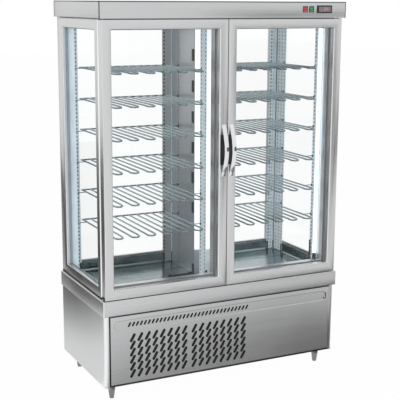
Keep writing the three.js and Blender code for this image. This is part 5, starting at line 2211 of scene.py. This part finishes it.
def stage_square(name: str, place: Matrix, finish: bpy.types.Material) -> bpy.types.Object:
    """Adds a square of side 2 to the studio, placed and stretched by a matrix.

    Args:
        name: Its name.
        place: Where it lies and how far it reaches.
        finish: Its material.

    Returns:
        The square.
    """
    grid = bmesh.new()
    bmesh.ops.create_grid(grid, x_segments=1, y_segments=1, size=1.0, matrix=place)
    mesh = bpy.data.meshes.new(name)
    grid.to_mesh(mesh)
    grid.free()
    mesh.materials.append(finish)
    made = bpy.data.objects.new(name, mesh)
    bpy.context.scene.collection.objects.link(made)
    return made
@dataclass
class Studio:
    """Camera, white floor and world, soft lamps and cards that only reflections see."""

    camera_place: tuple[float, float, float] = (-2.21695, -4.46601, 1.89795)
    yaw: float = math.radians(26.392)
    pitch: float = math.radians(11.545)
    roll: float = math.radians(0.292)
    lens: float = 87.935
    sensor: float = 36.0
    ambient: float = 0.75
    floor_tone: float = 0.80
    floor_show: float = 0.975
    floor_reach: float = 30.0
    aim: tuple[float, float, float] = (0.0, 0.0, 0.9)

    def build(self) -> None:
        """Sets the studio up."""
        self.camera()
        self.world()
        self.floor()
        self.lamps()
        self.cards()
        bpy.context.scene.view_settings.view_transform = "Standard"

    def camera(self) -> None:
        """Stands the camera at the photograph's place."""
        ahead = math.cos(self.pitch)
        forward = Vector((math.sin(self.yaw) * ahead, math.cos(self.yaw) * ahead, -math.sin(self.pitch)))
        level = Vector((math.cos(self.yaw), -math.sin(self.yaw), 0.0))
        up = level.cross(forward)
        right = math.cos(self.roll) * level + math.sin(self.roll) * up
        upright = -math.sin(self.roll) * level + math.cos(self.roll) * up
        data = bpy.data.cameras.new("photo_camera")
        data.lens = self.lens
        data.sensor_width = self.sensor
        camera = bpy.data.objects.new("photo_camera", data)
        turn = Matrix((right, upright, -forward)).transposed().to_4x4()
        camera.matrix_world = Matrix.Translation(self.camera_place) @ turn
        bpy.context.scene.collection.objects.link(camera)
        bpy.context.scene.camera = camera

    def seen(self, tree: bpy.types.NodeTree) -> bpy.types.NodeSocket:
        """Tells the rays that look at the background, from the camera, metal or glass.

        Args:
            tree: The node tree that it is worked out in.

        Returns:
            A socket that is 1 for those rays.
        """
        path = tree.nodes.new("ShaderNodeLightPath")
        total = path.outputs["Is Camera Ray"]
        for kind in ("Is Glossy Ray", "Is Transmission Ray"):
            add = tree.nodes.new("ShaderNodeMath")
            add.operation = "MAXIMUM"
            tree.links.new(total, add.inputs[0])
            tree.links.new(path.outputs[kind], add.inputs[1])
            total = add.outputs[0]
        return total

    def world(self) -> None:
        """Makes the world white to look at and plain soft light for the rest."""
        world = bpy.data.worlds.new("white_studio")
        bpy.context.scene.world = world
        world.use_nodes = True
        tree = world.node_tree
        light = tree.nodes["Background"]
        light.inputs["Color"].default_value = (0.97, 0.985, 1.0, 1.0)
        light.inputs["Strength"].default_value = self.ambient
        show = tree.nodes.new("ShaderNodeBackground")
        show.inputs["Color"].default_value = (1.0, 1.0, 1.0, 1.0)
        mixed = tree.nodes.new("ShaderNodeMixShader")
        tree.links.new(self.seen(tree), mixed.inputs[0])
        tree.links.new(light.outputs[0], mixed.inputs[1])
        tree.links.new(show.outputs[0], mixed.inputs[2])
        tree.links.new(mixed.outputs[0], tree.nodes["World Output"].inputs["Surface"])

    def floor(self) -> None:
        """Lays a white floor that keeps a faint shadow."""
        work = Shading("studio_floor")
        work.constants(Base_Color=(self.floor_tone,) * 3 + (1.0,), Roughness=0.9, Specular_IOR_Level=0.0)
        glow = work.node("ShaderNodeEmission")
        share = work.compute("MULTIPLY", self.seen(work.tree), self.floor_show)
        mixed = work.node("ShaderNodeMixShader", {0: share, 1: work.surface.outputs[0], 2: glow.outputs[0]})
        work.show(mixed.outputs[0])
        reach = Matrix.Diagonal((self.floor_reach, self.floor_reach, 1.0, 1.0))
        stage_square("studio_floor", reach, work.material)

    def lamps(self) -> None:
        """Hangs large soft lamps."""
        for name, place, size, power in (
            ("soft_key", (-3.0, -3.2, 4.2), 2.6, 55.0),
            ("soft_fill", (3.2, -3.0, 3.4), 2.4, 25.0),
            ("soft_top", (0.0, 0.5, 4.6), 2.4, 25.0),
        ):
            data = bpy.data.lights.new(name, "AREA")
            data.energy = power
            data.size = size
            lamp = bpy.data.objects.new(name, data)
            lamp.location = place
            aim = Vector(self.aim) - Vector(place)
            lamp.rotation_euler = aim.to_track_quat("-Z", "Y").to_euler()
            lamp.visible_glossy = False
            bpy.context.scene.collection.objects.link(lamp)

    def cards(self) -> None:
        """Sets cards that only reflections see, so that the sheet metal has something to reflect."""
        for card in (
            Card("floor_card_right", (-0.80, -0.33, 0.004), (1.9, 0.0, 0.0), (0.0, -0.86, 0.0),
                 ((0.46, 0.0), (1.05, 0.16))),
            Card("floor_card_dark", (1.11, -0.33, 0.004), (3.0, 0.0, 0.0), (0.0, -0.72, 0.0),
                 ((0.0, 0.0), (0.16, 0.16))),
            Card("floor_card_left", (-5.5, 0.55, 0.004), (4.6, 0.0, 0.0), (0.0, 7.5, 0.0),
                 ((0.80, 0.80), (0.03, 0.03)), 0.10),
            Card("floor_card_bright", (-3.6, -2.6, 0.004), (2.9, 0.0, 0.0), (0.0, 2.5, 0.0),
                 ((1.45, 1.45), (1.45, 1.45))),
            Card("wall_card_right", (2.9, -6.2, 0.15), (3.1, 2.0, 0.0), UP * 1.3,
                 ((0.10, 0.10), (0.10, 0.10))),
            Card("wall_card_bright", (-3.7, -3.0, 0.0), (-0.9, 1.9, 0.0), UP * 2.3,
                 ((1.9, 1.9), (1.9, 1.9))),
        ):
            card.build()


@dataclass(frozen=True)
class Card:
    """A card that only reflections see: a corner, two edges and the glow at its corners."""

    name: str
    corner: tuple[float, float, float]
    first: tuple[float, float, float]
    second: Vector | tuple[float, float, float]
    glow: tuple[tuple[float, float], tuple[float, float]]
    soft: float = 1.0

    def build(self) -> None:
        """Makes the card, and dresses it with a glow that changes from corner to corner."""
        corner, first, second = Vector(self.corner), Vector(self.first), Vector(self.second)
        place = Matrix((first / 2, second / 2, first.cross(second).normalized())).transposed().to_4x4()
        place.translation = corner + (first + second) / 2
        card = stage_square(self.name, place, self.light(corner, first, second))
        for ray in ("visible_camera", "visible_diffuse", "visible_shadow", "visible_transmission"):
            setattr(card, ray, False)

    def light(self, corner: Vector, first: Vector, second: Vector) -> bpy.types.Material:
        """Makes the glowing material, which reads how far a point is along both edges.

        Args:
            corner: The card's corner.
            first: Its first edge.
            second: Its second edge.

        Returns:
            The material.
        """
        work = Shading(self.name)
        place = work.node("ShaderNodeTexCoord").outputs["Object"]
        local = work.node("ShaderNodeVectorMath", {0: place, 1: tuple(corner)}, operation="SUBTRACT")
        shares = []
        for edge, reach in ((first, 1.0), (second, self.soft)):
            links = {0: local.outputs[0], 1: tuple(edge / edge.length_squared)}
            along = work.node("ShaderNodeVectorMath", links, operation="DOT_PRODUCT")
            ranged = work.node("ShaderNodeMapRange", {"Value": along.outputs["Value"], "From Max": reach})
            shares.append(ranged.outputs["Result"])
        rows = [work.blend(shares[0], (low,) * 3, (high,) * 3) for low, high in self.glow]
        glow = work.node("ShaderNodeEmission", {"Color": work.blend(shares[1], rows[0], rows[1])})
        work.show(glow.outputs[0])
        work.tree.nodes.remove(work.surface)
        return work.material


def main() -> None:
    """Builds the studio and the cabinet."""
    Studio().build()
    finishes = Finishes()
    MachineBase(finishes).build()
    Machinery(finishes).build()
    GlazedBody(finishes).build()
    Standards(finishes).build()
    for side in Side:
        for level in range(1, 7):
            WireShelf(finishes, side, level).build()
        Lamp(finishes, side).build()
        Door(finishes, side).build()
    Cap(finishes).build()
    log.info("cabinet finished")


if __name__ == "__main__":
    main()
